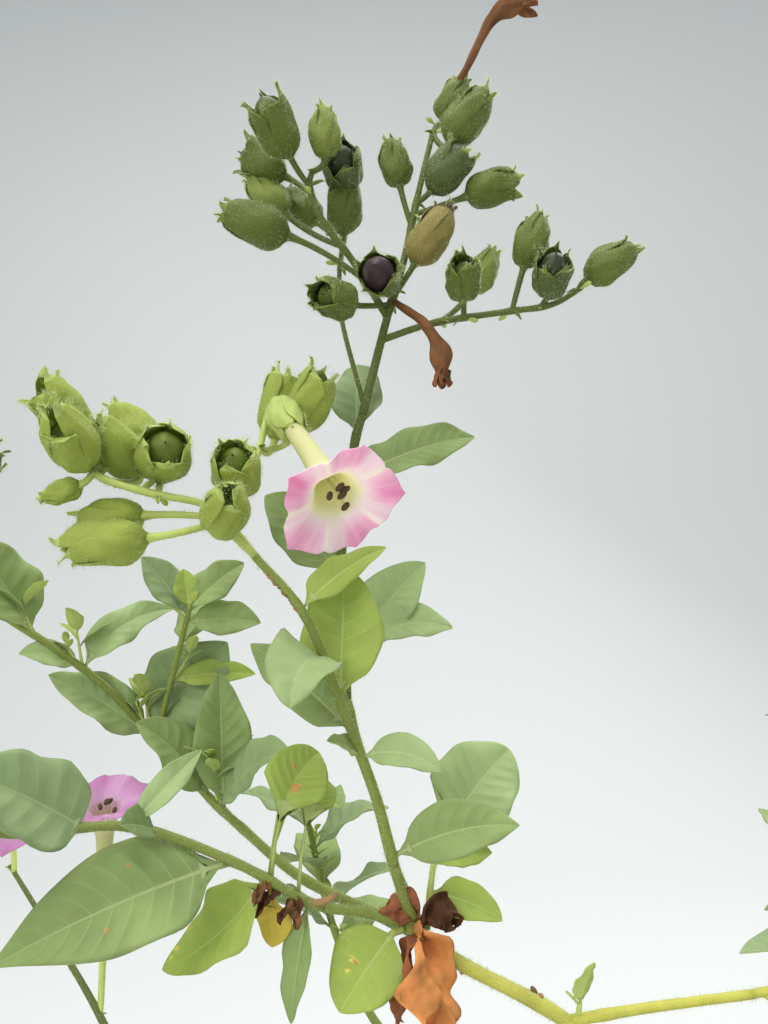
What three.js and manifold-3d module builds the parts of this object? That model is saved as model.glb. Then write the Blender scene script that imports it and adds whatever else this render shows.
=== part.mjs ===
// A branching tobacco plant, Nicotiana tabacum, rooted in the ground.
// Millimetres, +Z up. The origin is the middle of the flat cut at ground level under the main stem.
// +X runs to the right and +Y runs back, seen from the side that carries the open flower.
// The main stem leans over to the left and divides at the fork. Each bough is one tapering limb that
// leaves the main stem, and each carries a leafy shoot with a head of seed capsules at its tip.
import * as THREE from "three";
import { mergeVertices } from "three/addons/utils/BufferGeometryUtils.js";
import Module from "manifold-3d";

const wasm = await Module();
wasm.setup();

// Driving sizes, in millimetres and degrees
const FORK = [-170, 8, 422]; // where the main stem divides, from the middle of its foot
const CLEAR = 0.3; // gap between neighbouring pieces
const SLIVER = 0.12; // edges this short, left where pieces are fused, are merged
const GOLDEN_ANGLE = 137.5; // turn from each leaf to the next
const FOOT = { radius: 6.6, flare: 3.6, flareHeight: 14, ribs: 5, ribDepth: 0.12 };
const LEAF = { thickness: 0.02, least: 0.55, fold: 18, stalk: 0.12, stalkWidth: 0.1 };
const CAPSULE = { length: 20.5, radius: 6, lobes: 5, mouth: 0.66, tip: 0.42, dome: 0.88 };
const CALYX = { length: 15, radius: 5, mouth: 4.2, rim: 0.94 };
const COROLLA = { length: 39, tube: 2.7, throat: 6.2, limb: 16, notch: 12.4, depth: 11, skin: 0.8 };
const PEDICEL = { radius: 0.8, sides: 3, short: 11 };
const TRUNK_SIDES = 9;
const TRUNK_STEPS = 17;
const BOUGH_SIDES = 6;
const BOUGH_STEP = 20; // length of a straight stretch
const TWIG_SIDES = 5;
const TWIG_STEP = 22;

const fromFoot = ([x, y, z]) => new THREE.Vector3(x, y, z);
const fromFork = ([x, y, z]) => new THREE.Vector3(x + FORK[0], y + FORK[1], z + FORK[2]);
const UP = new THREE.Vector3(0, 0, 1);
const rad = THREE.MathUtils.degToRad;

// Seeded numbers from 0 to 1, the same on every run
function seeded(seed) {
  let state = seed;
  return () => {
    state = (state * 16807) % 2147483647;
    return state / 2147483647;
  };
}

function heading(azimuth, rise) {
  const a = rad(azimuth);
  const e = rad(rise);
  return new THREE.Vector3(Math.cos(a) * Math.cos(e), Math.sin(a) * Math.cos(e), Math.sin(e));
}

// Curves through a few places
function lineThrough(points) {
  return new THREE.CatmullRomCurve3(points, false, "catmullrom", 0.5);
}

// A closed solid from rings of corners, shut by a point at each end
function solidFromRings(rings, first, last) {
  const corners = [];
  const sides = rings[0].length;
  const triangle = (a, b, c) => corners.push(...a.toArray(), ...b.toArray(), ...c.toArray());
  for (let i = 0; i + 1 < rings.length; i++) {
    for (let j = 0; j < sides; j++) {
      const k = (j + 1) % sides;
      triangle(rings[i][j], rings[i][k], rings[i + 1][k]);
      triangle(rings[i][j], rings[i + 1][k], rings[i + 1][j]);
    }
  }
  for (let j = 0; j < sides; j++) {
    const k = (j + 1) % sides;
    triangle(first, rings[0][k], rings[0][j]);
    triangle(last, rings[rings.length - 1][j], rings[rings.length - 1][k]);
  }
  const soup = new THREE.BufferGeometry();
  soup.setAttribute("position", new THREE.BufferAttribute(new Float32Array(corners), 3));
  const merged = mergeVertices(soup, 1e-4);
  const triVerts = new Uint32Array(merged.index.array);
  const vertProperties = merged.attributes.position.array;
  const made = new wasm.Manifold(new wasm.Mesh({ numProp: 3, vertProperties, triVerts }));
  if (made.volume() > 0) return made;
  triVerts.reverse();
  return new wasm.Manifold(new wasm.Mesh({ numProp: 3, vertProperties, triVerts }));
}

function middleOf(ring) {
  const sum = new THREE.Vector3();
  ring.forEach((corner) => sum.add(corner));
  return sum.divideScalar(ring.length);
}

// A round limb along a curve. radiusAt gives the radius at a share of its length, and footNormal
// is the way up at a flat foot, where the rings lie closer together.
function limb(curve, radiusAt, sides, steps, footNormal = null) {
  const rings = [];
  let side = null;
  for (let i = 0; i <= steps; i++) {
    const t = footNormal ? Math.pow(i / steps, 1.4) : i / steps;
    const along = i === 0 && footNormal ? footNormal : curve.getTangentAt(t);
    if (!side) side = Math.abs(along.x) < 0.9 ? new THREE.Vector3(1, 0, 0) : new THREE.Vector3(0, 1, 0);
    side = side.clone().addScaledVector(along, -side.dot(along)).normalize();
    const other = new THREE.Vector3().crossVectors(along, side);
    const middle = curve.getPointAt(t);
    const ring = [];
    for (let j = 0; j < sides; j++) {
      const turn = (2 * Math.PI * j) / sides;
      const out = side.clone().multiplyScalar(Math.cos(turn)).addScaledVector(other, Math.sin(turn));
      ring.push(middle.clone().addScaledVector(out, radiusAt(t, turn)));
    }
    rings.push(ring);
  }
  return solidFromRings(rings, middleOf(rings[0]), middleOf(rings[steps]));
}

const taper = (r0, r1) => (t) => r0 + (r1 - r0) * t;

// The middle of a faceted limb at a share of its length, where what stands on it starts
function middleAt(curve, steps, share) {
  const place = Math.min(share, 0.985) * steps;
  const ring = Math.floor(place);
  return curve.getPointAt(ring / steps).lerp(curve.getPointAt((ring + 1) / steps), place - ring);
}

// A leaf's share of its full width at a share of its length
function leafWidth(share, stalk) {
  const wing = LEAF.stalkWidth * (1 - share);
  if (share <= stalk) return wing;
  const u = (share - stalk) / (1 - stalk);
  return wing + (Math.pow(u, 0.6) * Math.pow(1 - u, 0.75)) / 0.396;
}

// One folded blade that leaves its root at an azimuth and a rise, bends down by droop towards its tip,
// and is turned about its length by roll. swell makes it larger all round, to test its clearance.
function leaf(root, [, azimuth, rise, length, width, droop, roll = 0, stalk = LEAF.stalk], swell = 0) {
  const stations = [0, stalk, stalk + 0.36 * (1 - stalk), stalk + 0.74 * (1 - stalk)];
  const thick = Math.max(LEAF.least, LEAF.thickness * length) + swell;
  const fine = 12;
  const middle = [root.clone()];
  for (let i = 1; i <= fine; i++) {
    const bent = rise - droop * Math.pow((i - 0.5) / fine, 1.3);
    middle.push(middle[i - 1].clone().addScaledVector(heading(azimuth, bent), length / fine));
  }
  const spine = lineThrough(middle);
  const rings = stations.map((share) => {
    const along = spine.getTangentAt(share);
    const across = new THREE.Vector3().crossVectors(along, UP).normalize().applyAxisAngle(along, rad(roll));
    const normal = new THREE.Vector3().crossVectors(across, along);
    const half = 0.5 * width * leafWidth(share, stalk) + swell;
    const lift = half * Math.tan(rad(LEAF.fold));
    const place = spine.getPointAt(share);
    const at = (x, z) => place.clone().addScaledVector(across, x).addScaledVector(normal, z);
    return [at(-half, lift), at(0, -thick / 2), at(half, lift), at(0, thick / 2)];
  });
  return solidFromRings(rings, middleOf(rings[0]), spine.getPointAt(1));
}

// Parts that stand along an axis: rings of [height, radius, height of points, radius of points],
// turned round it by spin
function spindle(base, axis, profile, count, last, spin = 0) {
  const aside = Math.abs(axis.z) < 0.9 ? UP : new THREE.Vector3(1, 0, 0);
  const side = new THREE.Vector3().crossVectors(axis, aside).normalize();
  const other = new THREE.Vector3().crossVectors(axis, side);
  const rings = profile.map(([height, radius, pointHeight = height, pointRadius = radius]) => {
    const ring = [];
    for (let j = 0; j < count; j++) {
      const turn = (2 * Math.PI * j) / count + rad(spin);
      const pointed = j % 2 === 0;
      const r = pointed ? pointRadius : radius;
      const place = base.clone().addScaledVector(axis, pointed ? pointHeight : height);
      ring.push(place.addScaledVector(side, r * Math.cos(turn)).addScaledVector(other, r * Math.sin(turn)));
    }
    return ring;
  });
  return solidFromRings(rings, base, base.clone().addScaledVector(axis, last));
}

// A seed capsule in its calyx, whose pointed lobes stand round the capsule's dome
function capsule(base, axis, size) {
  const length = CAPSULE.length * size;
  const radius = CAPSULE.radius * size;
  const profile = [
    [0.25 * length, 0.95 * radius],
    [CAPSULE.mouth * length, 0.84 * radius, length, CAPSULE.tip * radius],
  ];
  return spindle(base, axis, profile, 2 * CAPSULE.lobes, CAPSULE.dome * length);
}

// The cup that holds an open flower
function calyx(base, axis, size) {
  const length = CALYX.length * size;
  const radius = CALYX.radius * size;
  const profile = [
    [0.12 * length, 0.7 * radius],
    [0.5 * length, radius],
    [CALYX.rim * length, CALYX.mouth * size],
  ];
  return spindle(base, axis, profile, 2 * CAPSULE.lobes, CALYX.rim * length);
}

// The corolla from the calyx's mouth: a tube, a throat, and a limb with five points round a hollow
function corolla(base, axis, size, spin) {
  const { length, tube, throat, limb: limbRadius, notch, depth, skin } = COROLLA;
  const start = CALYX.rim * CALYX.length * size + CLEAR;
  const scaled = (rows) => rows.map((row) => row.map((value) => value * size));
  const profile = scaled([
    [0, tube],
    [0.5 * length, tube * 1.1],
    [0.8 * length, throat],
    [0.92 * length, throat * 1.25],
    [length - skin, notch, length - skin - 1, limbRadius],
    [length, notch, length - 1, limbRadius],
    [0.95 * length, throat * 1.05],
    [length - depth, throat * 0.7],
  ]);
  const foot = base.clone().addScaledVector(axis, start);
  return spindle(foot, axis, profile, 10, (length - depth) * size, spin);
}

// A stalk from a place on a stem to the base of a fruit, arriving along the fruit's axis
function pedicel(from, base, axis, radius = PEDICEL.radius) {
  const reach = from.distanceTo(base);
  const knee = base.clone().addScaledVector(axis, -0.45 * reach);
  const curve = new THREE.QuadraticBezierCurve3(from, knee, base.clone().addScaledVector(axis, 1.5));
  return limb(curve, taper(radius, radius * 1.15), PEDICEL.sides, reach > PEDICEL.short ? 2 : 1);
}

// The nodes made so far. A stem also keeps a copy that is larger by the clearance, to cut others with.
const plant = new THREE.Group();
const placed = []; // { name, solid, swollen }

function largestOf(solid) {
  return solid.decompose().reduce((best, piece) => (piece.volume() > best.volume() ? piece : best));
}

function boxesMeet(a, b) {
  const p = a.boundingBox();
  const q = b.boundingBox();
  return [0, 1, 2].every((i) => p.min[i] < q.max[i] && q.min[i] < p.max[i]);
}

function neighbourTouched(piece) {
  const near = placed.filter(({ solid }) => boxesMeet(piece, solid));
  const met = near.find(({ solid }) => piece.intersect(solid).volume() > 1e-6);
  return met && met.name;
}

function clearOfNeighbours(solid) {
  return placed.reduce((kept, { swollen }) => {
    return swollen && boxesMeet(kept, swollen) ? kept.subtract(swollen) : kept;
  }, solid);
}

function addNode(name, solid, swollen, look) {
  const body = largestOf(solid.simplify(SLIVER));
  placed.push({ name, solid: body, swollen });
  const { vertProperties, triVerts } = body.getMesh();
  const geometry = new THREE.BufferGeometry();
  geometry.setAttribute("position", new THREE.BufferAttribute(vertProperties, 3));
  geometry.setIndex(new THREE.BufferAttribute(triVerts, 1));
  geometry.computeVertexNormals();
  const mesh = new THREE.Mesh(geometry, look);
  mesh.name = name;
  plant.add(mesh);
}

const looks = {
  stem: new THREE.MeshStandardMaterial({ color: 0x7f9152, roughness: 0.7, metalness: 0 }),
  leaf: new THREE.MeshStandardMaterial({ color: 0x86a267, roughness: 0.65, metalness: 0 }),
  fruit: new THREE.MeshStandardMaterial({ color: 0x94a85a, roughness: 0.55, metalness: 0 }),
  petal: new THREE.MeshStandardMaterial({ color: 0xe9b3cc, roughness: 0.6, metalness: 0 }),
  withered: new THREE.MeshStandardMaterial({ color: 0x9a5c30, roughness: 0.85, metalness: 0 }),
};

// The main stem, from its flat foot with a ribbed flare to the fork

const TRUNK_PATH = [
  [0, 0, 0],
  [-5, 1, 100],
  [-22, 2, 200],
  [-58, 2, 300],
  [-106, -1, 382],
  [-132, 0, 403],
  [-157, 5, 414],
  FORK,
];
const TRUNK_TIP_RADIUS = 1.5;
const TRUNK_TAPER = 1.3; // above 1, the stem loses more of its size low down

function makeTrunk() {
  const curve = lineThrough(TRUNK_PATH.map(fromFoot));
  const height = curve.getLength();
  const shape = (extra) => (t, turn) => {
    const flare = Math.exp((-t * height) / FOOT.flareHeight);
    const ribs = 1 + FOOT.ribDepth * flare * Math.cos(FOOT.ribs * turn);
    const round = TRUNK_TIP_RADIUS + (FOOT.radius - TRUNK_TIP_RADIUS) * Math.pow(1 - t, TRUNK_TAPER);
    return (round + FOOT.flare * flare) * ribs + extra;
  };
  const solid = limb(curve, shape(0), TRUNK_SIDES, TRUNK_STEPS, UP);
  addNode("main_stem", solid, limb(curve, shape(CLEAR), TRUNK_SIDES, TRUNK_STEPS, UP), looks.stem);
}

// Boughs: name, whether their places are from the foot or the fork, the places, and the radius at
// each end. Each starts inside the main stem and is cut clear of it.
const BOUGHS = [
  ["left_bough", fromFork, [[-0.4, -0.1, 0.2], [-10, -1, 3], [-21, -5, 6]], 1.25, 1.15],
  ["front_bough", fromFork, [[3, -1, -1.5], [-1, -2, 7], [-3.2, -2.5, 15]], 1.3, 1.2],
  ["rear_bough", fromFork, [[4, 0, -2.5], [-3, 9, 10], [-7.9, 13, 27], [-13.4, 15, 41.7], [-16.6, 16, 54]], 1.5, 1.45],
  ["back_left_bough", fromFork, [[8, -2, -4], [-4, 9, -3], [-30, 22, 4], [-52, 37, 15]], 1.5, 1.3],
  ["right_bough", fromFork, [[39, -8, -19], [57, -12, -14], [80, -16, -9]], 1.3, 1.0],
  ["back_bough", fromFoot, [[-66, 2, 316], [-110, 46, 330], [-168, 76, 352]], 2.1, 1.5],
  ["back_right_bough", fromFoot, [[-40, 2, 255], [-26, 26, 292], [-8, 52, 350]], 2.4, 1.8],
  ["front_right_bough", fromFoot, [[-25, 2, 208], [0, -26, 240], [28, -50, 300]], 2.4, 1.8],
  ["low_left_bough", fromFoot, [[-10, 1, 140], [-55, -10, 172], [-110, -14, 220]], 2.7, 2.1],
  ["low_right_bough", fromFoot, [[-4, 1, 80], [30, 14, 104], [60, 22, 142]], 2.8, 2.0],
];

function makeBough([name, place, path, r0, r1]) {
  const curve = lineThrough(path.map(place));
  const steps = Math.max(4, Math.round(curve.getLength() / BOUGH_STEP));
  const solid = clearOfNeighbours(limb(curve, taper(r0, r1), BOUGH_SIDES, steps));
  addNode(name, solid, limb(curve, taper(r0 + CLEAR, r1 + CLEAR), BOUGH_SIDES, steps), looks.stem);
}

// Leaves round a twig by the golden angle, each a little smaller than the last
function leavesByRule({ seed, count, from = 0.05, to = 0.95, azimuth = 0, length, rise = 42, droop = 45 }) {
  const next = seeded(seed);
  const rows = [];
  for (let i = 0; i < count; i++) {
    const share = from + ((to - from) * i) / Math.max(1, count - 1);
    const size = length * (1 - 0.4 * share) * (0.88 + 0.24 * next());
    const turn = azimuth + GOLDEN_ANGLE * i + 24 * (next() - 0.5);
    const slope = rise + 16 * (next() - 0.5);
    const width = size * (0.44 + 0.08 * next());
    rows.push([share, turn, slope, size, width, droop + 30 * (next() - 0.5)]);
  }
  return rows;
}

// Leafy shoots. A twig is { path, radii, leaves }. The first twig of a shoot is its stem, which carries
// on from the limb named in after. A leaf is
// [share of the twig, azimuth, rise, length, width, droop, roll, stalk].
const SHOOTS = [
  {
    name: "front_leaves",
    after: "front_bough",
    place: fromFork,
    twigs: [
      {
        path: [[-3.2, -2.5, 15], [-8, -6, 33], [-17, -10, 57], [-26, -14, 79], [-38, -15, 93]],
        radii: [1.2, 1.05],
        leaves: [
          [0.03, 6, 25, 34, 14, 30, 55],
          [0.34, 338, 20, 22, 9, 60, 45],
          [0.35, 218, 32, 11, 6, 20, -40],
          [0.42, 160, 40, 36, 14, 10, -50],
          [0.51, 86, 78, 35, 20, 0, 6],
          [0.64, 250, 20, 24, 17, 110, -20],
          [0.8, 29, 44, 30, 9, 25, 40],
        ],
      },
    ],
  },
  {
    name: "rear_leaves",
    after: "rear_bough",
    place: fromFork,
    twigs: [
      {
        path: [[-16.6, 16, 54], [-18.4, 20, 82], [-18, 21, 105], [-15, 23, 128], [-12.5, 23, 138]],
        radii: [1.45, 1.35],
        leaves: [
          [0.14, 18, 52, 37, 18, 10, 55],
          [0.17, 355, 32, 33, 13, 50, 50],
          [0.4, 164, 55, 36, 20, 20, -50],
          [0.6, 85, 40, 40, 20, 45],
          [0.75, 22, 30, 48, 15, 20, 55],
          [0.92, 92, 62, 32, 16, 10, -10],
        ],
      },
    ],
  },
  {
    name: "fork_shoot",
    after: "main_stem",
    place: fromFork,
    twigs: [
      {
        path: [[5, 1, -1.5], [6, 7, 4], [8, 13, 13]],
        radii: [0.9, 0.7],
        leaves: [
          [0.5, 345, -5, 20, 10, 25, 45],
          [0.85, 12, 20, 17, 8, 30, 40],
          [0.98, 25, 56, 36, 23, 20, 45, 0.3],
        ],
      },
    ],
  },
  {
    name: "fork_leaf",
    after: "main_stem",
    place: fromFork,
    twigs: [
      {
        path: [[-1, -1, -0.8], [-4.2, -2.6, -1.2]],
        radii: [0.9, 0.8],
        leaves: [[0.85, 200, -45, 21.5, 18, 10, -50, 0.06]],
      },
    ],
  },
  {
    name: "withered_leaves",
    after: "main_stem",
    place: fromFork,
    look: "withered",
    twigs: [
      {
        path: [[3, 0, -1], [3, -3.4, 1.5]],
        radii: [0.9, 0.8],
        leaves: [
          [0.9, 285, -45, 27, 15, 45, -20],
          [0.7, 235, -48, 22, 10, 40, 30],
          [0.85, 20, 40, 13, 9, 120, 60],
          [0.8, 170, 55, 12, 8, 110, -40],
        ],
      },
    ],
  },
  {
    name: "axil_sprout",
    after: "main_stem",
    place: fromFork,
    twigs: [
      {
        path: [[41, -8, -18], [41, -10, -14]],
        radii: [0.7, 0.6],
        leaves: [
          [0.85, 300, 70, 13, 5.5, 10],
          [0.8, 190, 50, 5, 2.5, 10],
        ],
      },
    ],
  },
  {
    name: "left_leaves",
    after: "left_bough",
    place: fromFork,
    twigs: [
      {
        path: [
          [-21, -5, 6],
          [-27, -7, 9],
          [-42, -12, 19],
          [-65, -21, 30],
          [-90, -32, 32],
          [-108, -34, 42],
          [-118, -31, 60],
        ],
        radii: [1.15, 0.95],
        leaves: [
          [0.035, 225, -75, 27, 8.5, 10, -8],
          [0.13, 60, 84, 36, 16, 70, 50, 0.45],
          [0.14, 174, -56, 34, 17, -34, -45],
          [0.22, 210, -8, 54, 23, 15, -52],
          [0.38, 235, 35, 11, 9, 30, -40],
          [0.43, 43, 43, 24, 7, 10, 40],
          [0.42, 92, 8, 19, 9, 20, -50],
          [0.515, 221, 37, 30, 18, 10, -65, 0.06],
          [0.7, 275, -10, 28, 14, 50],
          [0.84, 150, 35, 38, 18, 45],
          [0.95, 250, 35, 38, 18, 50],
          [0.06, 75, 86, 34, 11, 80, 30, 0.55],
          [0.13, 80, -80, 17, 10, 0, 12, 0.35],
        ],
      },
    ],
  },
  {
    name: "back_left_leaves",
    after: "back_left_bough",
    place: fromFork,
    twigs: [
      {
        path: [
          [-52, 37, 15],
          [-60, 42, 20],
          [-80, 50, 36],
          [-94, 45, 53],
          [-109, 37, 67],
          [-124, 32, 78],
          [-140, 28, 94],
        ],
        radii: [1.3, 1.0],
        leaves: [
          [0.04, 118, 82, 42, 17, 0, -14],
          [0.06, 330, 50, 34, 18, 30, 50],
          [0.09, 205, 60, 34, 18, 30, -50],
          [0.2, 0, 18, 25, 11, 40, 50],
          [0.32, 200, 40, 38, 15, 15, -60],
          [0.33, 8, 52, 38, 27, 5, 62],
          [0.57, 24, 60, 35, 12, 60, 55],
          [0.58, 211, 32, 19, 9, 40, -55],
          [0.72, 209, 62, 35, 19, 10, -65],
          [0.86, 130, 40, 36, 18, 45],
          [0.97, 265, 30, 34, 17, 45],
        ],
      },
      {
        path: [[-80, 50, 36], [-74, 46, 58], [-68, 42, 80]],
        radii: [1.0, 0.8],
        leaves: [
          [0.45, 15, 12, 27, 9, 20, 55],
          [0.7, 70, 40, 28, 14, 20],
          [0.88, 1, 8, 24, 12, 20, 60],
          [0.93, 183, 55, 24, 12, 10, -55],
          [0.97, 15, 50, 23, 12, 20, 60],
          [0.98, 150, 75, 13, 8, 0, -40],
        ],
      },
    ],
  },
  {
    name: "right_leaves",
    after: "right_bough",
    place: fromFork,
    twigs: [
      {
        path: [[80, -16, -9], [92, -20, -3], [104, -25, 18], [110, -28, 46]],
        radii: [1.0, 0.9],
        leaves: leavesByRule({ seed: 11, count: 5, from: 0.3, azimuth: 320, length: 46 }),
      },
      {
        path: [[82, -16.5, -8.5], [100, -16, -6], [124, -12, 4]],
        radii: [0.8, 0.6],
        leaves: leavesByRule({ seed: 12, count: 3, from: 0.45, azimuth: 40, length: 40 }),
      },
      {
        path: [[82, -16.5, -8.5], [98, -24, -16], [118, -34, -14]],
        radii: [0.8, 0.6],
        leaves: leavesByRule({ seed: 13, count: 2, from: 0.45, azimuth: 250, length: 40, rise: 25 }),
      },
    ],
  },
  {
    name: "back_right_leaves",
    after: "back_right_bough",
    place: fromFoot,
    twigs: [
      {
        path: [[-8, 52, 350], [2, 66, 420], [4, 74, 466]],
        radii: [1.9, 1.4],
        leaves: leavesByRule({ seed: 21, count: 7, azimuth: 20, length: 66 }),
      },
    ],
  },
  {
    name: "front_right_leaves",
    after: "front_right_bough",
    place: fromFoot,
    twigs: [
      {
        path: [[28, -50, 300], [40, -60, 362], [44, -64, 410]],
        radii: [1.9, 1.4],
        leaves: leavesByRule({ seed: 22, count: 7, azimuth: 200, length: 66 }),
      },
    ],
  },
  {
    name: "low_left_leaves",
    after: "low_left_bough",
    place: fromFoot,
    twigs: [
      {
        path: [[-110, -14, 220], [-150, -8, 262], [-196, 2, 312], [-228, 10, 356]],
        radii: [2.1, 1.4],
        leaves: leavesByRule({ seed: 23, count: 8, azimuth: 120, length: 72, droop: 55, rise: 36 }),
      },
    ],
  },
  {
    name: "back_leaves",
    after: "back_bough",
    place: fromFoot,
    twigs: [
      {
        path: [[-168, 76, 352], [-181, 82, 363], [-194, 86, 390], [-205, 84, 434]],
        radii: [1.5, 0.9],
        leaves: leavesByRule({ seed: 24, count: 8, from: 0.42, azimuth: 60, length: 46 }),
      },
    ],
  },
  {
    name: "low_right_leaves",
    after: "low_right_bough",
    place: fromFoot,
    twigs: [
      {
        path: [[60, 22, 142], [84, 28, 190], [94, 30, 236]],
        radii: [2.0, 0.9],
        leaves: leavesByRule({ seed: 25, count: 6, azimuth: 330, length: 90, droop: 60, rise: 34 }),
      },
    ],
  },
];

const skipped = [];

// Joins a twig and what stands on it; a piece that would touch another node is skipped
function joinClear(name, stems, pieces) {
  const kept = [];
  for (const { label, solid, swollen } of pieces) {
    const met = neighbourTouched(swollen ?? solid);
    if (met) skipped.push(`${name} ${label} meets ${met}`);
    else kept.push(solid);
  }
  return wasm.Manifold.union([...stems, ...kept]);
}

function makeShoot({ name, place, twigs, look = "leaf" }) {
  const stems = [];
  const pieces = [];
  twigs.forEach(({ path, radii, leaves }, which) => {
    const points = path.map(place);
    if (which === 0) points[0] = startClear(points);
    const curve = lineThrough(points);
    const steps = Math.max(2, Math.round(curve.getLength() / TWIG_STEP));
    stems.push(limb(curve, taper(...radii), TWIG_SIDES, steps));
    for (const row of leaves) {
      const root = middleAt(curve, steps, row[0]);
      const label = `leaf at ${row[0].toFixed(2)}`;
      pieces.push({ label, solid: leaf(root, row), swollen: leaf(root, row, CLEAR) });
    }
  });
  addNode(name, clearOfNeighbours(joinClear(name, stems, pieces)), null, looks[look]);
}

// A stem that carries on from another starts one clearance past its tip
function startClear(points) {
  const way = points[1].clone().sub(points[0]).normalize();
  return points[0].clone().addScaledVector(way, CLEAR);
}

// Capsules along an arm, on alternate sides, with one at its tip
function fruitsByRule({ path, seed, count, size = 1, spread = 58 }) {
  const next = seeded(seed);
  const curve = lineThrough(path.map((p) => new THREE.Vector3(...p)));
  const rows = [];
  for (let i = 0; i < count; i++) {
    const share = count === 1 ? 1 : 0.25 + (0.75 * i) / (count - 1);
    const from = curve.getPointAt(share);
    const along = curve.getTangentAt(share);
    const turn = GOLDEN_ANGLE * i + 40 * next();
    const outward = heading(turn, 0);
    const lean = i === count - 1 ? 12 : spread;
    const axis = along.clone().multiplyScalar(Math.cos(rad(lean)));
    axis.addScaledVector(outward, Math.sin(rad(lean))).addScaledVector(UP, 0.35).normalize();
    const base = from.clone().addScaledVector(axis, 9 + 3 * next());
    rows.push([share, base.toArray(), axis.toArray(), size * (0.9 + 0.18 * next())]);
  }
  return rows;
}

function headArm(path, radii, seed, count) {
  return { path, radii, fruits: fruitsByRule({ path, seed, count }) };
}

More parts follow.
